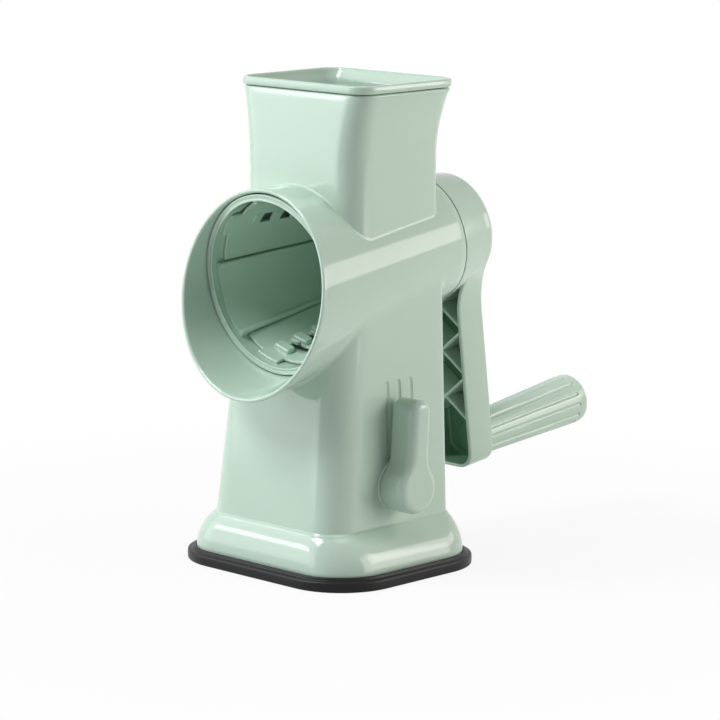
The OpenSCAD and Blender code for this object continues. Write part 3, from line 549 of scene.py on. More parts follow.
def skirt_ring(z, inset=0.0, lift=0.0):
    """Outline between foot and crease, drawn inwards by inset. The share t of the height gives the
    share 1 - (1 - t^2)^0.7 of the way inwards, a plump quarter round, scaled so that it ends at 1."""
    def plump(t):
        return 1 - (1 - t ** 2) ** 0.7

    height = np.clip((z - SKIRT_Z) / (CREASE_Z - SKIRT_Z), 0, 1)
    share = plump(0.97 * height) / plump(0.97)
    p, out = lift_ring(tuple(SKIRT_FOOT + (SKIRT_TOP - SKIRT_FOOT) * share), z)
    return p - out * inset + [0, 0, lift]


outside = [skirt_ring(SKIRT_Z, 0.5)] + [skirt_ring(z) for z in np.linspace(5.5, BELOW_BEAD, 22)]
bead = [skirt_ring(23.15, -0.12), skirt_ring(23.4, -0.3), skirt_ring(23.7, -0.38),
        skirt_ring(24.0, -0.3), skirt_ring(24.2, -0.08, 0.2), skirt_ring(24.2, 0.4, 0.15)]
inside = [skirt_ring(23.9, 2.6, -1.6)] + [skirt_ring(z, 2.2) for z in (20.0, 14.0, 9.0, SKIRT_Z)]
skirt = ring_shell("skirt_skin", np.stack(outside + bead + inside, 1))
auto_smooth(skirt)
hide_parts("base_skirt")
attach(skirt, "housing")
print("skirt:", len(skirt.data.polygons), "faces")

# %% [markdown]
# ## Rubber foot
# The foot is a rounded slab of black rubber with a lower bead just outside the skirt. A slab with a
# bevel would leave out the groove and the bead, which catch the light round the whole foot. So its
# section is a list of (how far drawn in, height) pairs. It starts at the underside, goes up the side,
# over a groove and a small bead, and ends under the skirt.

# %% Rubber foot
PAD = (61, 61, -52.5, 52.5, 30, 30)


def foot_ring(inset, z):
    """The foot's outline drawn inwards by inset at height z."""
    p, out = lift_ring(PAD, z)
    return p - out * inset


section = ([(3.0, 0.0), (0.8, 0.0), *arc((0.8, 0.8), 0.8, 270, 180, 5)[1:], (0.0, 2.4), (0.0, 3.9)]
           + [*arc((1.1, 3.9), 1.1, 180, 95, 6)[1:], (2.1, 5.0), (2.4, 5.3), (2.5, 5.8)]
           + [*arc((3.3, 5.75), 0.8, 170, 10, 8), (4.2, 5.4), (4.3, 4.98), (8.0, 4.98)])
foot = capped("rubber_foot", np.stack([foot_ring(inset, z) for inset, z in section]))
auto_smooth(foot)
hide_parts("suction_pad")
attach(foot, "housing")
print("foot:", len(foot.data.polygons), "faces")

# %% [markdown]
# ## The pusher
# The pusher is a hollow stopper that hangs in the hopper by its rim, so from outside only the rim
# shows, and from above its hollow. It could be the hopper's shell scaled down, but then its gap would
# be uneven. Its wall takes the hopper's own outline, drawn in by a fixed clearance, and the rim is a
# flat band with small rounds.

# %% Pusher
CLEARANCE = 0.6
RIM = (42.5, 42.5, -20.4, 44.6, 10.0, 10.0)


def pusher_ring(inset, z):
    """The hopper's outline at height z, nowhere deeper than at its top, drawn in by the clearance."""
    sizes = list(hopper_sizes(min(z, HOPPER_TOP)))
    sizes[2:4] = hopper_sizes(HOPPER_TOP)[2:4]
    p, out = lift_ring(sizes, z)
    return p - out * (WALL + CLEARANCE + inset)


def rim_ring(inset, z):
    """The rim's outline drawn inwards by inset at height z."""
    p, out = lift_ring(RIM, z)
    return p - out * inset


flare = np.linspace(225.9, FLARE_Z, 14)
rim_outside = [(1.2, 230.0), (0.7, 229.92), (0.3, 229.7), (0.08, 229.4), (0.0, 229.0),
               (0.0, 226.9), (0.1, 226.5), (0.35, 226.2), (0.8, 226.1), (2.4, 226.1)]
wall_outside = [(0, z) for z in flare] + [(0, 184.6), (0.15, 184.15), (0.6, 184.0), (6, 184.0)]
rim_inside = [(1.7, 229.92), (2.1, 229.7), (2.4, 229.2), (2.6, 228.2)]
wall_inside = [(1.8, z) for z in flare] + [(1.8, 188.0), (2.2, 186.8), (3.2, 186.0), (6, 185.8)]
outer = [rim_ring(*p) for p in rim_outside] + [pusher_ring(*p) for p in wall_outside]
inner = [rim_ring(*p) for p in rim_inside] + [pusher_ring(*p) for p in wall_inside]
pusher = capped("pusher_skin", np.stack(outer[::-1] + inner))
auto_smooth(pusher)
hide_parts("food_pusher")
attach(pusher, "pusher")
print("pusher:", len(pusher.data.polygons), "faces")

# %% [markdown]
# ## The drum behind the mouth
# A ring, three panels with raised edges and a disc with a hub hold three curved shredding plates. The
# ring, the disc and the hub are what a lathe would turn. Blender's Screw modifier could turn them, but
# only about a straight object axis, and this axis is tilted. A closed profile of (s, r) points is
# turned round it by arithmetic instead, with its corners cut back and rounded first.

# %% Drum ring, disc and hub


def revolve(profile, n, centre=(0, 0)):
    """Closed profile of (s, r) turned in n steps round the axis, or round a line parallel to it that
    lies centre[0] to the side of it and centre[1] below it."""
    profile = np.asarray(profile, float)
    grid = on_axis(profile[None, :, 0], turn(n)[:, None], profile[None, :, 1])
    return grid + below_axis(*centre, 0.0) - ORIGIN


def rounded(corners, r, n=4):
    """Polygon of (s, r) points with each corner cut back by r and drawn as a parabola."""
    c = np.asarray(corners, float)
    before, after = np.roll(c, 1, 0) - c, np.roll(c, -1, 0) - c
    lb, la = (np.linalg.norm(v, axis=1, keepdims=True) for v in (before, after))
    cut = np.minimum(r, np.minimum(lb, la) * 0.45)
    a, b = c + before / lb * cut, c + after / la * cut
    t = np.linspace(0, 1, n)[None, :, None]
    curve = (1 - t) ** 2 * a[:, None] + 2 * (1 - t) * t * c[:, None] + t ** 2 * b[:, None]
    return curve.reshape(-1, 2)


RING_S, RING_END = -38.2, -26.5
ring_r = barrel_r(RING_S) - 2.75
ring = revolve(rounded([(RING_S, ring_r - 0.2), (RING_S + 0.45, 41.0), (RING_S + 0.1, 40.5),
                        (RING_S + 0.2, 39.8), (RING_S + 0.9, 39.85), (RING_S + 1.2, 40.6),
                        (RING_END, 40.5), (RING_END, barrel_r(RING_END) - 3.1),
                        (RING_S + 0.6, ring_r)], 0.3, 5), 256)
disc = revolve(rounded([(49.8, 7.0), (49.8, 26.6), (48.6, 27.6), (51.9, 29.3), (52.0, 7.0)], 0.4), 128)
hub = revolve(rounded([(38.0, 4.9), (38.0, 9.0), (55.0, 9.0), (55.0, 4.9)], 0.6), 96)
print("ring, disc and hub:", *(grid.shape[:2] for grid in (ring, disc, hub)))

# %% [markdown]
# Between the plates lie three curved panels with raised edges. An extruded strip bent round the axis
# would keep one width, but the drum narrows to the back. So a panel is one closed section of (degrees,
# depth) points, carried along the cone: the same degrees are fewer millimetres at the narrow end. It
# reaches HALF degrees to each side of its middle, and RIDGE is how wide its raised edge is.

# %% Drum panels
HALF, RIDGE = 27.0, 3.7
PANEL_MIDDLES = (79, 199, 319)


def panel_r(s):
    """Outer radius of the drum's panels."""
    return barrel_r(s) - 4.0


def section_along(mid, section, s):
    """Closed section of (degrees from mid, depth below the panel's outside) carried along s."""
    angle = np.radians(mid + section[:, 0])
    return on_axis(s[:, None], angle[None], panel_r(s)[:, None] - section[None, :, 1])


edge = np.array([(0, 0.25), (0, 3.0), (0.15, 3.22), (0.45, 3.3), (RIDGE - 0.75, 3.3), (RIDGE - 0.4, 3.2),
                 (RIDGE - 0.2, 2.9), (RIDGE - 0.05, 2.2), (RIDGE + 0.3, 2.0)])
right_edge = np.column_stack([HALF - edge[:, 0], edge[:, 1]])
left_edge = np.column_stack([edge[::-1, 0] - HALF, edge[::-1, 1]])
middle = np.column_stack([np.linspace(HALF - 4.2, 4.2 - HALF, 24), np.full(24, 2.0)])
outside = np.column_stack([np.linspace(0.3 - HALF, HALF - 0.3, 28), np.zeros(28)])
panel_section = np.concatenate([right_edge, middle, left_edge, outside])
panel_s = np.concatenate([[-34.1, -33.95, -33.7], np.linspace(-33, 50.4, 60)])

# The first rows are drawn in a little, which rounds the panel's front end.
drawn_in = np.zeros(len(panel_s))
drawn_in[:2] = (0.18, 0.06)
blocks = []
for mid in PANEL_MIDDLES:
    grid = section_along(mid, panel_section, panel_s)
    narrow = section_along(mid, panel_section * [0.985, 1], panel_s)
    blocks.append(tube(grid + (narrow - grid) * drawn_in[:, None, None]))
for grid in (ring, disc, hub):
    blocks.append((grid, [grid_faces(*grid.shape[:2], True, True)]))
drum = many("drum_ring_and_panels", blocks)
auto_smooth(drum, 32)
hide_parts("drum_frame")
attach(drum, "crank")
print("drum:", len(drum.data.polygons), "faces")

# %% [markdown]
# ## The shredding plates
# A plate is a curved sheet with a row of windows, and a front edge that is stepped where a tab lies on
# the ring. Windows are often cut with booleans, but seventeen cuts in thin curved sheets are slow
# and leave slivers. Here the sheet is a grid in angle and s whose lines run along every edge. Cells
# of the grid are kept or left out, and a wall closes every border between the two.

# %% Sheets with windows


def plate_grid(name, angles, stations, keep, outer, inner):
    """Closed sheet from the kept cells of a grid in angle (degrees) and s, between two depths. A side of
    a kept cell whose neighbour is left out gets a wall from the top sheet down to the low one."""
    a, s = np.meshgrid(np.radians(angles), stations, indexing="ij")
    n, m = a.shape
    top = on_axis(s, a, panel_r(s) - outer).reshape(-1, 3)
    low = on_axis(s, a, panel_r(s) - inner).reshape(-1, 3)
    number = np.arange(n * m).reshape(n, m)
    quad = np.stack([number[:-1, :-1], number[1:, :-1], number[1:, 1:], number[:-1, 1:]], -1)
    faces = [quad[keep], quad[keep][:, ::-1] + n * m]
    padded = np.pad(keep, 1)
    for axis, step, k0, k1 in ((0, -1, 0, 3), (0, 1, 2, 1), (1, -1, 1, 0), (1, 1, 3, 2)):
        open_side = keep & ~np.roll(padded, -step, axis)[1:-1, 1:-1]
        q = quad[open_side]
        faces.append(np.stack([q[:, k0], q[:, k1], q[:, k1] + n * m, q[:, k0] + n * m], 1))
    points = np.concatenate([top, low])
    used = np.unique(np.concatenate([f.ravel() for f in faces]))
    renumber = np.zeros(len(points), int)
    renumber[used] = np.arange(len(used))
    return closed(name, points[used], [renumber[f] for f in faces])


def filled(cuts, step):
    """The cuts, with evenly spaced values between neighbours, about step apart."""
    return np.unique(np.concatenate([np.linspace(a, b, max(2, int((b - a) / step) + 1))
                                     for a, b in zip(cuts[:-1], cuts[1:])]))


PLATE_OUT, PLATE_IN = 0.3, 1.7
PLATE_HALF, PLATE_END, LAST_START = 32.2, 49.0, 44
PITCH, WINDOW = 11.6, 6.2
print("windows of", WINDOW, "mm, every", PITCH, "mm")

# %% [markdown]
# Behind each window stands a low hood that the shreds slide under. A scaled cube with a bevel would
# not follow the drum's curve, so a hood is a stack of outlines laid on the sheet, in degrees and s,
# that shrink as a quarter circle near the top.

# %% Hoods on the plates
HOOD_R = 38.0


def hood(a0, a1, s0, s1, h, inner, r=0.9):
    """A block with rounded edges on a plate, from a0 to a1 degrees and s0 to s1, h high. Each outline
    is drawn in by d, which grows as r - r cos w while the height grows as r sin w."""
    degree = np.degrees(1 / HOOD_R)
    rings = []
    for z, d in [(-0.5, 0.0), (h * 0.5, 0.0)] + [(h - r + r * np.sin(w), r - r * np.cos(w))
                                                for w in np.radians((20, 40, 60, 75, 90))]:
        left, right = a0 + d * degree, a1 - d * degree
        front, back = s0 + d * 0.7, s1 - d * 0.7
        q = min(1.0, (s1 - s0) * 0.4 - d * 0.7)
        corners = ((right - q * degree, back - q, 0), (left + q * degree, back - q, 90),
                   (left + q * degree, front + q, 180), (right - q * degree, front + q, 270))
        line = np.concatenate([arc((0, 0), q, start, start + 90, 5) * [degree, 1] + [a, s]
                               for a, s, start in corners])
        rings.append(on_axis(line[:, 1], np.radians(line[:, 0]), panel_r(line[:, 1]) - inner - z))
    return tube(np.stack(rings))


print("a millimetre on a plate's inside is", round(np.degrees(1 / HOOD_R), 2), "degrees")

# %% [markdown]
# Each of the three plates has its own table row: the middle in degrees, the tab's edges and its front,
# the front edge on either side of it, where the windows start and how wide they are. A narrow bevel on
# the finished plate gives its edges the bright line that a real moulding has.

# %% Three plates
plates = [("shredding_plate_1", 259, (242, 261, -33.0), -30.2, -28.4, -20.0, 9.0),
          ("shredding_plate_2", 19, (2, 21, -33.0), -30.2, -28.4, -17.0, 7.0),
          ("shredding_plate_3", 139, (132, 151, -33.5), -27.2, -30.2, -13.6, 5.0)]
plate_pieces = []
for node, mid, (tab0, tab1, tab_s), low_s, high_s, first, wide in plates:
    starts = np.arange(first, LAST_START, PITCH)
    fronts = [tab_s, low_s, high_s]
    cuts = np.unique(np.round(np.concatenate([fronts, starts, starts + WINDOW, [PLATE_END]]), 4))
    edges = np.sort([mid - PLATE_HALF, tab0, mid - wide, mid + wide, tab1, mid + PLATE_HALF])
    along, across = filled(cuts, 1.6), filled(edges, 1.5)
    a, s = np.meshgrid((across[1:] + across[:-1]) / 2, (along[1:] + along[:-1]) / 2, indexing="ij")
    keep = s > np.where(a < tab0, low_s, np.where(a > tab1, high_s, tab_s))
    for start in starts:
        keep &= ~((s > start) & (s < start + WINDOW) & (abs(a - mid) < wide))
    sheet = plate_grid(node + "_sheet", across, along, keep, PLATE_OUT, PLATE_IN)
    bevel = sheet.modifiers.new("edge", "BEVEL")
    bevel.width, bevel.segments, bevel.angle_limit = 0.0003, 2, np.radians(40)
    auto_smooth(sheet, 30)

    hoods = []
    for start in [first - PITCH, *starts]:
        end = start + WINDOW
        left, right = mid - wide, mid + wide
        if wide < 6:
            hoods.append(hood(left, right, end + 0.1, end + 1.5, 0.7, PLATE_IN, 0.3))
            continue
        hoods.append(hood(left - 5.0, right - 8.0, end + 0.2, start + PITCH - 0.2, 2.2, PLATE_IN))
        if start >= first:
            hoods.append(hood(left - 3.5, left + 4.5, end - 1.6, end + 0.8, 1.3, PLATE_IN, 0.6))
    raised = many(node + "_hoods", hoods)
    auto_smooth(raised, 40)
    for piece in (sheet, raised):
        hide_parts(node)
        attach(piece, "crank")
        plate_pieces.append(piece)
    print(node, "has", len(starts), "windows and", len(hoods), "hoods")

# %% [markdown]
# ## The suction lever
# The lever is a pear seen from the side: a round lobe on the shaft, hollow flanks and a narrower neck.
# A curve with a bevel would give such an outline the same round edge on both sides. Outlines that
# shrink as the surface turns over give it a full round edge outside and a small one at the wall.

# %% Lever
LEVER_X, LEVER_OUT, LEVER_ROUND = 43.7, 14.6, 4.0
LOBE_R, NECK, HOLLOW_R, LEVER_TOP, TOP_R = 12.0, 6.2, 14.0, 41.8, 5.9
LEAN = np.radians(4.0)


def pear(d):
    """Outline (y, z) of the lever drawn inwards by d, anticlockwise from the lobe, leaning to the
    back. A hollow flank is an arc of radius k that touches the lobe's circle of radius r from outside
    and leaves as a straight line h from the middle: its centre lies r + k from the lobe's."""
    r, h, k = LOBE_R - d, NECK - d, HOLLOW_R + d
    q, top = max(TOP_R - d, 0.55), LEVER_TOP - d
    v = np.sqrt((r + k) ** 2 - (h + k) ** 2)
    a = np.degrees(np.arctan2(v, h + k))
    p = np.concatenate([arc((0, 0), r, 180 - a, 360 + a, 61), arc((h + k, v), k, 180 + a, 180, 14)[1:],
                        arc((h - q, top - q), q, 0, 90, 10), arc((q - h, top - q), q, 90, 180, 10),
                        arc((-h - k, v), k, 0, -a, 14)[:-1]])
    return p @ np.array([[np.cos(LEAN), -np.sin(LEAN)], [np.sin(LEAN), np.cos(LEAN)]])


levels = [(0.0, 0.7), (0.15, 0.3), (0.4, 0.08), (0.8, 0.0), (3.5, 0.0), (7.0, 0.0)]
levels += [(LEVER_OUT - LEVER_ROUND + LEVER_ROUND * np.sin(w), LEVER_ROUND - LEVER_ROUND * np.cos(w))
           for w in np.radians(np.linspace(0, 90, 13))]
pivot = np.array([LEVER_X, PIVOT_Y, PIVOT_Z])
lever = capped("lever_skin", np.stack(
    [pivot + np.column_stack([np.full(len(pear(d)), x), pear(d)]) for x, d in levels]))
auto_smooth(lever)
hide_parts("suction_lever")
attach(lever, "lever")
print("lever:", len(lever.data.polygons), "faces")

# %% [markdown]
# ## The crank's hub
# The hub is a cup that goes on where the barrel ends and covers the bearing. A cylinder with insets and
# bevels could be the start, but the hub is round all the way, inside and out. So it is one profile
# turned round the axis, and each of its rounds is a few numbers in the list.

# %% Hub
CRANK_R = 107.0
HUB_FRONT, HUB_BACK, HUB_RIM, HUB_EDGE_R = 61.5, 87.1, 5.0, 27.574


def hub_r(s):
    """Outer radius of the hub: a straight slope, then a quarter round of 5 mm to the back."""
    slope = 5.5 / (HUB_BACK - HUB_FRONT)
    low = BACK_R - (np.minimum(s, HUB_BACK - HUB_RIM) - HUB_FRONT) * slope
    over = np.clip((np.asarray(s) - HUB_BACK + HUB_RIM) / HUB_RIM, 0, 1)
    return low - HUB_RIM * (1 - np.sqrt(1 - over ** 2))


round_back = [(HUB_BACK - HUB_RIM + HUB_RIM * np.sin(w), HUB_EDGE_R - HUB_RIM * (1 - np.cos(w)))
              for w in np.radians(np.linspace(0, 90, 11))[1:]]
hub_profile = ([(65.7, 4.2), (65.6, 9.3), (65.8, 9.8), (66.2, 10.0), (83.6, 10.2), (84.8, 10.8),
                (85.3, 12.0), (85.3, 22.6), (84.9, 23.9), (83.8, 24.9)]
               + [(s, hub_r(s) - 2.1) for s in np.linspace(82.0, 62.0, 8)]
               + [(61.6, 29.95), (61.5, 30.2), (61.5, 31.5), (61.6, 31.8), (61.9, 31.92)]
               + [(s, hub_r(s)) for s in np.linspace(62.4, 82.1, 10)]
               + round_back + [(HUB_BACK, 14.0), (HUB_BACK, 4.2)])
hub_turn = turn(192)
hub_grid = np.stack([on_axis(s, hub_turn, r) for s, r in hub_profile])
print("hub profile:", len(hub_profile), "points")

# %% [markdown]
# ## The crank's arm
# The arm is a thin-walled channel, open towards the body and stiffened by crossed ribs. A solidified
# plate would give walls with sharp tops, and the flanks that flow into the hub have no simple box to
# start from. So the arm is one closed shell of outlines: up the cavity's wall, over the front rim and
# down the outside. Where the outline runs into the hub it is pushed out to the middle of the hub's
# wall, so nothing shows inside the cup. Each rib is one section along a straight line, and two of them
# cross in each of the three cells.

# %% Arm and ribs
ARM_HALF, ARM_END, ARM_CORNER, ARM_WALL, FLANK_END = 15.0, 118.0, 9.0, 1.8, 40.0


def arm_outline(d, s, sunk):
    """Outline (x, down) of the arm drawn in by d, from the left flank round the foot to the right one
    and back inside the hub. Each hollow flank is an arc of radius k that leaves the straight side
    FLANK_END below the axis and just touches the hub's circle. Points nearer to the axis than the hub's
    wall are pushed out into it."""
    touch, v = hub_r(s) - 0.1, FLANK_END
    k = (v ** 2 + ARM_HALF ** 2 - touch ** 2) / (2 * (touch - ARM_HALF)) + d
    h, q, end = ARM_HALF - d, ARM_CORNER - d, ARM_END - d
    a = np.degrees(np.arctan2(v, h + k))
    left, right = arc((-h - k, v), k, -a, 0, 14), arc((h + k, v), k, 180, 180 + a, 14)
    t = np.linspace(0, 1, 26)[1:-1, None]
    down_left = left[-1] + ([-h, end - q] - left[-1]) * t
    up_right = [h, end - q] + (right[0] - [h, end - q]) * t
    top = right[-1] + (left[0] - right[-1]) * np.linspace(0, 1, 18)[1:-1, None]
    p = np.concatenate([left, down_left, arc((q - h, end - q), q, 180, 90, 10),
                        arc((h - q, end - q), q, 90, 0, 10), up_right, right, top])
    return p * np.maximum(1, (hub_r(s) - sunk) / np.linalg.norm(p, axis=1))[:, None]


def arm_ring(d, s, sunk):
    """The arm's outline at s as 3-D points."""
    p = arm_outline(d, s, sunk)
    return below_axis(p[:, 0], p[:, 1], s)


cavity_wall = [(1.2, 85.3), (0.6, 85.1), (0.2, 84.6), (0.05, 84.0), (0.0, 83.0), (0.0, 76.0),
               (0.0, 70.4), (-0.12, 69.95), (-0.4, 69.72)]
outside = [(1.1, 69.7), (0.75, 69.78), (0.42, 70.0), (0.18, 70.3), (0.04, 70.75), (0.0, 71.2),
           (0.0, 78.0), (0.0, 85.1)]
outside += [(1.6 - 1.6 * np.cos(v), 85.1 + 1.6 * np.sin(v)) for v in np.radians(np.arange(15, 91, 15))]
arm_grid = np.stack([arm_ring(ARM_WALL + d, s, 0.6) for d, s in cavity_wall]
                    + [arm_ring(d, s, 1.3) for d, s in outside])


def rib(x0, y0, x1, y1):
    """A rib with a round top and sides that widen towards the floor: one section along a line."""
    run = np.array([x1 - x0, y1 - y0])
    side = np.array([-run[1], run[0]]) / np.hypot(*run)
    section = np.concatenate([[(1.1, 85.6)], arc((0, 71.35), 0.85, 0, -180, 9), [(-1.1, 85.6)]])
    t = np.linspace(0, 1, 12)[:, None, None]
    at = np.array([x0, y0]) + run * t + side * section[None, :, :1]
    return below_axis(at[..., 0], at[..., 1], section[None, :, 1])


RIB_X, CELLS, CELL_DOWN = 14.3, (23.5, 47.0, 70.5), (0.6, 22.9)
ribs = []
for y in CELLS:
    y0, y1 = (y + down for down in CELL_DOWN)
    ribs += [tube(rib(-RIB_X, y0, RIB_X, y1)), tube(rib(RIB_X, y0, -RIB_X, y1))]
print("arm outlines:", arm_grid.shape[:2], "and", len(ribs), "ribs")

# %% [markdown]
# Little light reaches the arm's deep cavity, and the photograph shows it darker, so its faces are
# given a darker mint as painted shade. They could be a piece of their own, but a second material slot
# does the same without a seam. The slots follow the order in which the faces were made: the hub's come
# first, then row by row the arm's, then its two flat ends, the ribs and the seat of the grip's pin.

# %% The whole arm
CAVITY_ROWS = 6
TO_GRIP = below_axis(0, CRANK_R, 0) - ORIGIN
pin_seat_profile = [(85.6, 7.6), (84.9, 7.5), (84.7, 7.35), (84.6, 7.0), (84.6, 3.0), (84.6, 0.5)]
pin_seat = np.stack([on_axis(s, hub_turn, r) for s, r in pin_seat_profile]) + TO_GRIP
blocks = [tube(hub_grid), tube(arm_grid), *ribs, tube(pin_seat)]
arm = many("crank_arm_skin", blocks)
auto_smooth(arm, 45)

in_hub, in_seat = (sum(len(f) for f in faces) for _, faces in (blocks[0], blocks[-1]))
rows, in_row = arm_grid.shape[:2]
# The second slot holds the darker mint, which is painted shade for the faces deep in the cavity.
slot_of = np.zeros(len(arm.data.polygons), np.int32)
slot_of[in_hub:in_hub + CAVITY_ROWS * in_row] = 1
slot_of[in_hub + (rows - 1) * in_row] = 1
slot_of[-in_seat:] = 1
arm.data.polygons.foreach_set("material_index", slot_of)
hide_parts("crank_arm")
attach(arm, "crank")
print("crank arm:", len(arm.data.polygons), "faces,", slot_of.sum(), "in the cavity's tone")

# %% [markdown]
# ## The grip
# The grip has fourteen flutes that end in round tips before its domed end. Fourteen booleans would cut
# them, but with hard crests. Here the grip is a surface of revolution whose radius depends on the
# angle: where the circle that cuts a flute lies inside the grip's own radius, the surface follows the
# circle, and a smooth minimum of the two softens the crests.

# %% Grip
GRIP_S, GRIP_END, DOME_S, DOME_LONG, DOME_R = 89.2, 163.19, 158.7, 4.49, 12.7
FLUTES, FLUTE_R, FLUTE_END, CREST = 14, 1.3, 154.2, 0.12


def fluted(s, angle, base):
    """Distance from the grip's axis: the smaller of base and a groove's circle, whose radius shrinks
    as a half round beyond the groove's end. Within CREST of each other the two are blended."""
    b = ((angle * FLUTES / (2 * np.pi) + 0.5) % 1 - 0.5) * 2 * np.pi / FLUTES
    d = base + 0.6
    inside = FLUTE_R ** 2 - np.maximum(s - FLUTE_END, 0) ** 2 - (d * np.sin(b)) ** 2
    circle = np.where(inside > 0, d * np.cos(b) - np.sqrt(np.maximum(inside, 0)), base + 5)
    blend = np.clip(0.5 + 0.5 * (circle - base) / CREST, 0, 1)
    return circle * (1 - blend) + base * blend - CREST * blend * (1 - blend) * 0.5


stations = np.concatenate([[GRIP_S, 89.25, 89.45, 89.8], np.linspace(90.6, 153, 40),
                           np.linspace(153.4, 155.8, 25), [156.6, 157.6, DOME_S]])
angle = turn(448)
base = 10.6 + 2.1 * np.clip((stations - GRIP_S) / 66.6, 0, 1)
front_round = np.zeros(len(stations))
front_round[:3] = (0.7, 0.45, 0.15)
radius = fluted(stations[:, None], angle[None], base[:, None]) - front_round[:, None]
rings = [on_axis(96.0, angle, 4.2), on_axis(GRIP_S, angle, 4.2), on_axis(GRIP_S, angle, 7.0)]
rings += [on_axis(s, angle, r) for s, r in zip(stations, radius)]
rings += [on_axis(DOME_S + DOME_LONG * np.sin(w), angle, DOME_R - 9.0 * (1 - np.cos(w)))
          for w in np.radians(np.linspace(0, 90, 16))[1:]]
rings += [on_axis(GRIP_END, angle, r) for r in (2.0, 0.6)]
grip = capped("grip_skin", np.stack(rings) + TO_GRIP)
auto_smooth(grip)
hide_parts("grip")
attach(grip, "grip")
print("grip:", len(grip.data.polygons), "faces")

# %% [markdown]
# ## Collar and pin
# The collar is a short ring with small rounds, and the pin a turned rod. Both could be cylinders with
# a bevel, but the profile helpers are here already, so they are profiles carried round the grip's own
# axis.

# %% Collar and pin
collar = ring_shell("collar_skin", revolve(rounded(
    [(86.85, 4.3), (86.85, 10.2), (87.3, 10.85), (88.8, 10.85), (89.05, 10.3), (89.05, 4.3)], 0.35),
    128, (0, CRANK_R)))
pin_profile = [(85.0, 0.5), (85.0, 3.4), (85.3, 3.95), (140.6, 3.95), (141.2, 3.4), (141.2, 0.5)]
pin = capped("grip_pin", np.stack([on_axis(s, hub_turn, r) for s, r in pin_profile]) + TO_GRIP)
for piece, node in ((collar, "grip_collar"), (pin, "grip_axle")):
    auto_smooth(piece)
    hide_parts(node)
    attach(piece, "crank")
print("collar and pin:", len(collar.data.polygons), len(pin.data.polygons))

# %% [markdown]
# ## Materials
# Moulded plastic is never quite even: the tone drifts a little over a hand's width, the gloss is
# slightly cloudy, and the skin has a very shallow ripple. An image could carry all this, but it would
# need an unwrapped surface. One node group makes it from the object's own coordinates instead, and
# every plastic here uses it with values of its own.

# %% Node group for moulded plastic


def node_group(name, inputs, outputs):
    """An empty shader node group with named sockets: (name, kind, value) in, (name, kind) out."""
    group = bpy.data.node_groups.new(name, "ShaderNodeTree")
    for label, kind, value in inputs:
        socket = group.interface.new_socket(label, in_out="INPUT", socket_type=kind)
        socket.default_value = value
    for label, kind in outputs:
        group.interface.new_socket(label, in_out="OUTPUT", socket_type=kind)
    return group, group.nodes.new("NodeGroupInput"), group.nodes.new("NodeGroupOutput")


def math(tree, kind, a, b=0.0, c=0.0):
    """A Math node whose inputs are numbers or sockets."""
    node = tree.nodes.new("ShaderNodeMath")
    node.operation = kind
    for socket, value in zip(node.inputs, (a, b, c)):
        if isinstance(value, (int, float)):
            socket.default_value = value
        else:
            tree.links.new(value, socket)
    return node.outputs[0]


def noise(tree, vector, scale, detail=3.0):
    """A noise texture's value on these coordinates, in features per metre."""
    node = tree.nodes.new("ShaderNodeTexNoise")
    node.inputs["Scale"].default_value = scale
    node.inputs["Detail"].default_value = detail
    tree.links.new(vector, node.inputs["Vector"])
    return node.outputs["Fac"]


moulded, given, result = node_group(
    "moulded_plastic",
    [("Coordinates", "NodeSocketVector", (0, 0, 0)), ("Tone", "NodeSocketColor", (0.5, 0.6, 0.5, 1)),
     ("Drift", "NodeSocketFloat", 0.03), ("Gloss", "NodeSocketFloat", 0.12),
     ("Cloud", "NodeSocketFloat", 0.03)],
    [("Color", "NodeSocketColor"), ("Roughness", "NodeSocketFloat"), ("Height", "NodeSocketFloat")])
links = moulded.links
vector = given.outputs["Coordinates"]
broad = noise(moulded, vector, 22)
fine = noise(moulded, vector, 160, 4.0)
grain = noise(moulded, vector, 1500, 2.0)
broad_swing = math(moulded, "SUBTRACT", broad, 0.5)
fine_swing = math(moulded, "SUBTRACT", fine, 0.5)
tint = moulded.nodes.new("ShaderNodeHueSaturation")
links.new(given.outputs["Tone"], tint.inputs["Color"])
links.new(math(moulded, "MULTIPLY_ADD", broad_swing, given.outputs["Drift"], 1.0), tint.inputs["Value"])
links.new(tint.outputs["Color"], result.inputs["Color"])
cloudy = math(moulded, "MULTIPLY_ADD", fine_swing, given.outputs["Cloud"], given.outputs["Gloss"])
links.new(cloudy, result.inputs["Roughness"])
links.new(math(moulded, "MULTIPLY_ADD", grain, 0.15, fine), result.inputs["Height"])
print("node group:", moulded.name, "with", len(moulded.nodes), "nodes")

# %% [markdown]
# The mouldings differ only in tone and gloss. The outside is the glossiest, the drum a little duller,
# and the arm's deep cavity gets a darker tone as painted shade. Each could be built node by node, but
# one function that wraps the group keeps them alike, so a change of the ripple reaches them all.

# %% Plastics and rubber


def plastic(name, tone, gloss, drift, cloud, ripple):
    """A plastic from the node group, with the ripple as a bump of so many millimetres."""
    material = bpy.data.materials.new(name)
    material.use_nodes = True
    tree = material.node_tree
    shader = tree.nodes["Principled BSDF"]
    place = tree.nodes.new("ShaderNodeTexCoord")
    group = tree.nodes.new("ShaderNodeGroup")
    group.node_tree = moulded
    tree.links.new(place.outputs["Object"], group.inputs["Coordinates"])
    group.inputs["Tone"].default_value = (*tone, 1)
    for label, value in (("Drift", drift), ("Gloss", gloss), ("Cloud", cloud)):
        group.inputs[label].default_value = value
    tree.links.new(group.outputs["Color"], shader.inputs["Base Color"])
    tree.links.new(group.outputs["Roughness"], shader.inputs["Roughness"])
    bump = tree.nodes.new("ShaderNodeBump")
    bump.inputs["Strength"].default_value = 1.0
    bump.inputs["Distance"].default_value = ripple * 0.001
    tree.links.new(group.outputs["Height"], bump.inputs["Height"])
    tree.links.new(bump.outputs["Normal"], shader.inputs["Normal"])
    shader.inputs["IOR"].default_value = 1.49
    return material


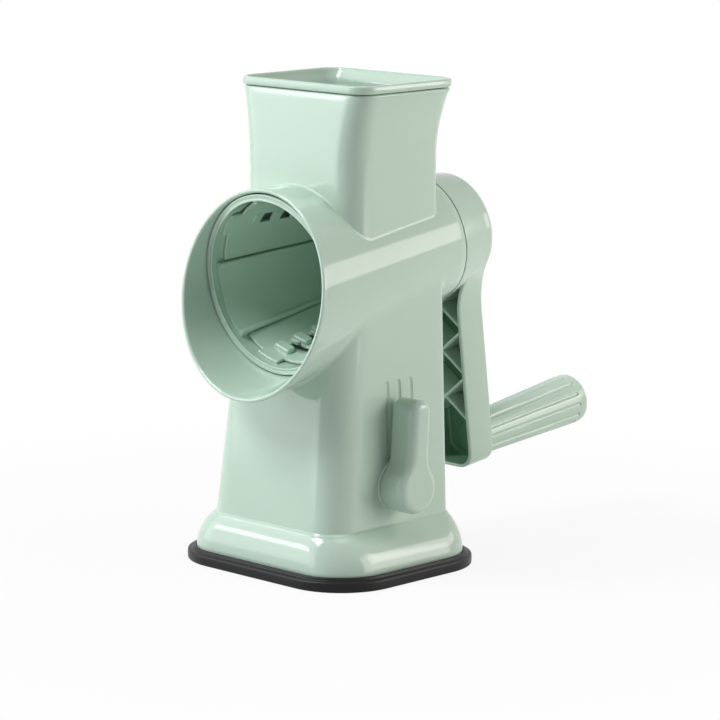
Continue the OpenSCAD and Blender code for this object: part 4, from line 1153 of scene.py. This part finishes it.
def srgb(r, g, b):
    """Linear colour of a colour written as 0 to 255 on a screen."""
    c = np.array([r, g, b]) / 255
    return tuple(np.where(c <= 0.04045, c / 12.92, ((c + 0.055) / 1.055) ** 2.4))


mint = plastic("mint_gloss_plastic", srgb(187, 210, 194), 0.10, 0.04, 0.06, 0.02)
deep = plastic("mint_drum_plastic", srgb(182, 208, 190), 0.16, 0.05, 0.08, 0.02)
white = plastic("white_inner_plastic", srgb(228, 230, 226), 0.35, 0.04, 0.10, 0.03)
rubber = plastic("black_foot_rubber", srgb(16, 16, 16), 0.40, 0.20, 0.16, 0.06)
rubber.node_tree.nodes["Principled BSDF"].inputs["Specular IOR Level"].default_value = 0.25
# Painted shade: the same mint made darker, for the arm's deep cavity where little light reaches.
cavity_shade = plastic("mint_cavity_painted_shade", srgb(108, 146, 120), 0.22, 0.05, 0.08, 0.02)
print("plastics:", ", ".join(m.name for m in (mint, deep, white, rubber, cavity_shade)))

# %% [markdown]
# The steel of pin, screws and clips was turned, which leaves fine streaks. An anisotropic shader would
# stretch the reflections, but the streaks themselves would be missing. A noise that is drawn out along
# y gives them, once in the colour and once in the roughness.

# %% Turned steel
steel = bpy.data.materials.new("turned_steel")
steel.use_nodes = True
tree = steel.node_tree
shader = tree.nodes["Principled BSDF"]
shader.inputs["Metallic"].default_value = 1.0
place, stretch = tree.nodes.new("ShaderNodeTexCoord"), tree.nodes.new("ShaderNodeMapping")
stretch.inputs["Scale"].default_value = (1.0, 0.05, 1.0)
tree.links.new(place.outputs["Object"], stretch.inputs["Vector"])
streak = noise(tree, stretch.outputs["Vector"], 1400)
ramp = tree.nodes.new("ShaderNodeMix")
ramp.data_type = "RGBA"
ramp.inputs["A"].default_value = (0.50, 0.50, 0.49, 1)
ramp.inputs["B"].default_value = (0.66, 0.66, 0.65, 1)
tree.links.new(streak, ramp.inputs["Factor"])
tree.links.new(ramp.outputs["Result"], shader.inputs["Base Color"])
tree.links.new(math(tree, "MULTIPLY_ADD", streak, 0.18, 0.20), shader.inputs["Roughness"])
print("materials:", ", ".join(m.name for m in bpy.data.materials))

# %% [markdown]
# Each skin gets its material. The small inner pieces could be modelled anew as well, but they hardly
# show, so they keep the imported solids' own meshes and only get the materials.

# %% Give every piece its material
for piece in (tower, seat, hopper, barrel, skirt, pusher, lever, arm, grip, collar):
    piece.data.materials.append(mint)
for piece in [drum, *plate_pieces]:
    piece.data.materials.append(deep)
pin.data.materials.append(steel)
foot.data.materials.append(rubber)
arm.data.materials.append(cavity_shade)
finish = {"base_plate": mint, "base_screws": steel, "suction_stem": white, "cam_shaft": steel,
          "suction_cam": white, "shaft_clip": steel, "drive_shaft": white, "drum_clip": steel,
          "bearing_bush": white, "shaft_washer": white, "crank_screw": steel, "grip_clip": steel}
for node, material in finish.items():
    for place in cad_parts[node].material_slots:
        place.material = material
print("packed solids that show:", ", ".join(finish))

# %% [markdown]
# ## Camera
# The camera stands 45 degrees to the right of the mouth and 10 degrees up, 1.6 m away with a long
# lens. It could be placed by eye, but a degree shows at once in the ellipse of the mouth, so the
# numbers come from fitting known corners of the object to their places in the photograph. RIGHT and
# UP say where the picture's middle lies beside and above the foot's middle, in millimetres.

# %% Camera
AZ, EL, FAR, FOCAL = np.radians(44.843), np.radians(10.239), 1592.415, 3367.034
RIGHT, UP, FILM, PIXELS = 14.714, 96.567, 36.0, 720.0


def stand(obj, x, y, z, place):
    """Puts a lamp or camera at its place, with x to its right, y up and z behind it."""
    rows = [[x[i], y[i], z[i], place[i]] for i in range(3)]
    obj.matrix_world = Matrix(rows + [[0, 0, 0, 1]])
    bpy.context.scene.collection.objects.link(obj)


right = np.array([np.cos(AZ), np.sin(AZ), 0.0])
back = np.array([np.sin(AZ) * np.cos(EL), -np.cos(AZ) * np.cos(EL), np.sin(EL)])
eye = (right * RIGHT + np.array([0, 0, UP]) + back * FAR) * 0.001
camera = bpy.data.objects.new("camera", bpy.data.cameras.new("camera"))
stand(camera, right, np.cross(back, right), back, eye)
camera.data.sensor_width = FILM
camera.data.lens = FILM * FOCAL / PIXELS
camera.data.clip_start, camera.data.clip_end = 0.1, 20.0
bpy.context.scene.camera = camera
print("camera:", np.round(eye, 3))

# %% [markdown]
# ## Floor
# The photograph's ground is plain white with a faint shadow. A white plane would need so much light
# that the object clips. So the floor is pale and matt, and only what the camera, a mirror or glass
# sees of it glows: it turns to plain white with the distance from the middle, as a smooth step, so
# that the shadow near the foot stays and no horizon shows.

# %% Floor


def new_nodes(tree, *kinds):
    """One new shader node of each kind."""
    return [tree.nodes.new("ShaderNode" + kind) for kind in kinds]


def seen_rays(tree):
    """1 where a ray comes from the camera, off a mirror or through glass, and otherwise 0."""
    path, = new_nodes(tree, "LightPath")
    seen = math(tree, "MAXIMUM", path.outputs["Is Camera Ray"], path.outputs["Is Glossy Ray"])
    return math(tree, "MAXIMUM", seen, path.outputs["Is Transmission Ray"])


a = turn(96)
discs = np.stack([np.column_stack([r * np.cos(a), r * np.sin(a), 0 * a]) for r in (1.0, 400.0, 6000.0)])
floor = new_object("floor", discs, [grid_faces(3, 96, False, True)[:, ::-1], np.arange(96)[None]])
floor_material = bpy.data.materials.new("pale_floor")
floor_material.use_nodes = True
tree = floor_material.node_tree
shader = tree.nodes["Principled BSDF"]
shader.inputs["Base Color"].default_value = (0.74, 0.74, 0.74, 1)
shader.inputs["Roughness"].default_value = 0.9
shader.inputs["Specular IOR Level"].default_value = 0.1
place, length, fade = new_nodes(tree, "TexCoord", "VectorMath", "MapRange")
glow, mix = new_nodes(tree, "Emission", "MixShader")
length.operation = "LENGTH"
tree.links.new(place.outputs["Object"], length.inputs[0])
for name, value in (("From Min", 0.10), ("From Max", 0.42), ("To Min", 0.90), ("To Max", 1.0)):
    fade.inputs[name].default_value = value
fade.interpolation_type = "SMOOTHSTEP"
tree.links.new(length.outputs["Value"], fade.inputs["Value"])
tree.links.new(math(tree, "MULTIPLY", seen_rays(tree), fade.outputs["Result"]), mix.inputs[0])
tree.links.new(shader.outputs[0], mix.inputs[1])
tree.links.new(glow.outputs[0], mix.inputs[2])
tree.links.new(mix.outputs[0], tree.nodes["Material Output"].inputs["Surface"])
floor.data.materials.append(floor_material)
print("floor:", discs.shape[:2])

# %% [markdown]
# ## Light
# Glossy plastic is drawn by what it mirrors, so a sun or point lamps would leave it dull: the lamps
# are soft boxes, whose size and place set each highlight. Two large ones on the left, one low and one
# high, light the mouth's side, and a small one is mirrored as the gleam on the skirt. On the right a
# low wide one is mirrored as the bright band along the barrel, and a larger one farther away lifts
# the walls. A weak one hangs above.

# %% Lights
MIDDLE = (0.0, 0.0, 0.12)


def soft_box(name, place, target, wide, high, watts, tone=(1, 1, 1)):
    """An area lamp of so many metres, looking from its place at the target."""
    data = bpy.data.lights.new(name, "AREA")
    data.shape, data.size, data.size_y, data.energy, data.color = "RECTANGLE", wide, high, watts, tone
    z = np.array(place, float) - target
    z /= np.linalg.norm(z)
    x = np.cross([0, 0, 1.0], z)
    x /= np.linalg.norm(x)
    stand(bpy.data.objects.new(name, data), x, np.cross(z, x), z, place)


soft_box("key_left", (-0.95, -0.95, 0.52), (0.0, 0.0, 0.42), 1.2, 1.25, 9.4, (0.99, 1.0, 1.02))
soft_box("key_high", (-0.60, -0.95, 1.45), MIDDLE, 0.7, 0.7, 22, (0.99, 1.0, 1.02))
soft_box("gleam_left", (-0.83, -0.82, 0.39), (0.0, -0.05, 0.015), 0.26, 0.12, 0.7)
soft_box("fill_right", (0.399, 0.475, 0.25), (0.0, 0.0, 0.15), 0.40, 0.18, 0.70, (1.05, 0.98, 0.94))
soft_box("side_right", (1.05, 0.62, 0.42), MIDDLE, 0.8, 0.8, 7.0, (1.04, 0.99, 0.95))
soft_box("strip_above", (0.0, 0.1, 1.45), MIDDLE, 0.9, 0.6, 3)
print("lamps:", ", ".join(lamp.name for lamp in bpy.data.lights))

# %% [markdown]
# The world round the object is white where it is seen or mirrored, and weak for the light it sheds. A
# white world of full strength would be simpler, but it would fill every shadow and flatten the ribs.

# %% World
SHED = 0.05
world = bpy.data.worlds.new("studio")
bpy.context.scene.world = world
world.use_nodes = True
tree = world.node_tree
shade = tree.nodes["Background"]
shade.inputs["Color"].default_value = (1, 1, 1, 1)
strength = math(tree, "MULTIPLY_ADD", seen_rays(tree), 1 - SHED, SHED)
tree.links.new(strength, shade.inputs["Strength"])
bpy.context.scene.view_settings.view_transform = "Standard"
print("world:", world.name, "with view transform", bpy.context.scene.view_settings.view_transform)
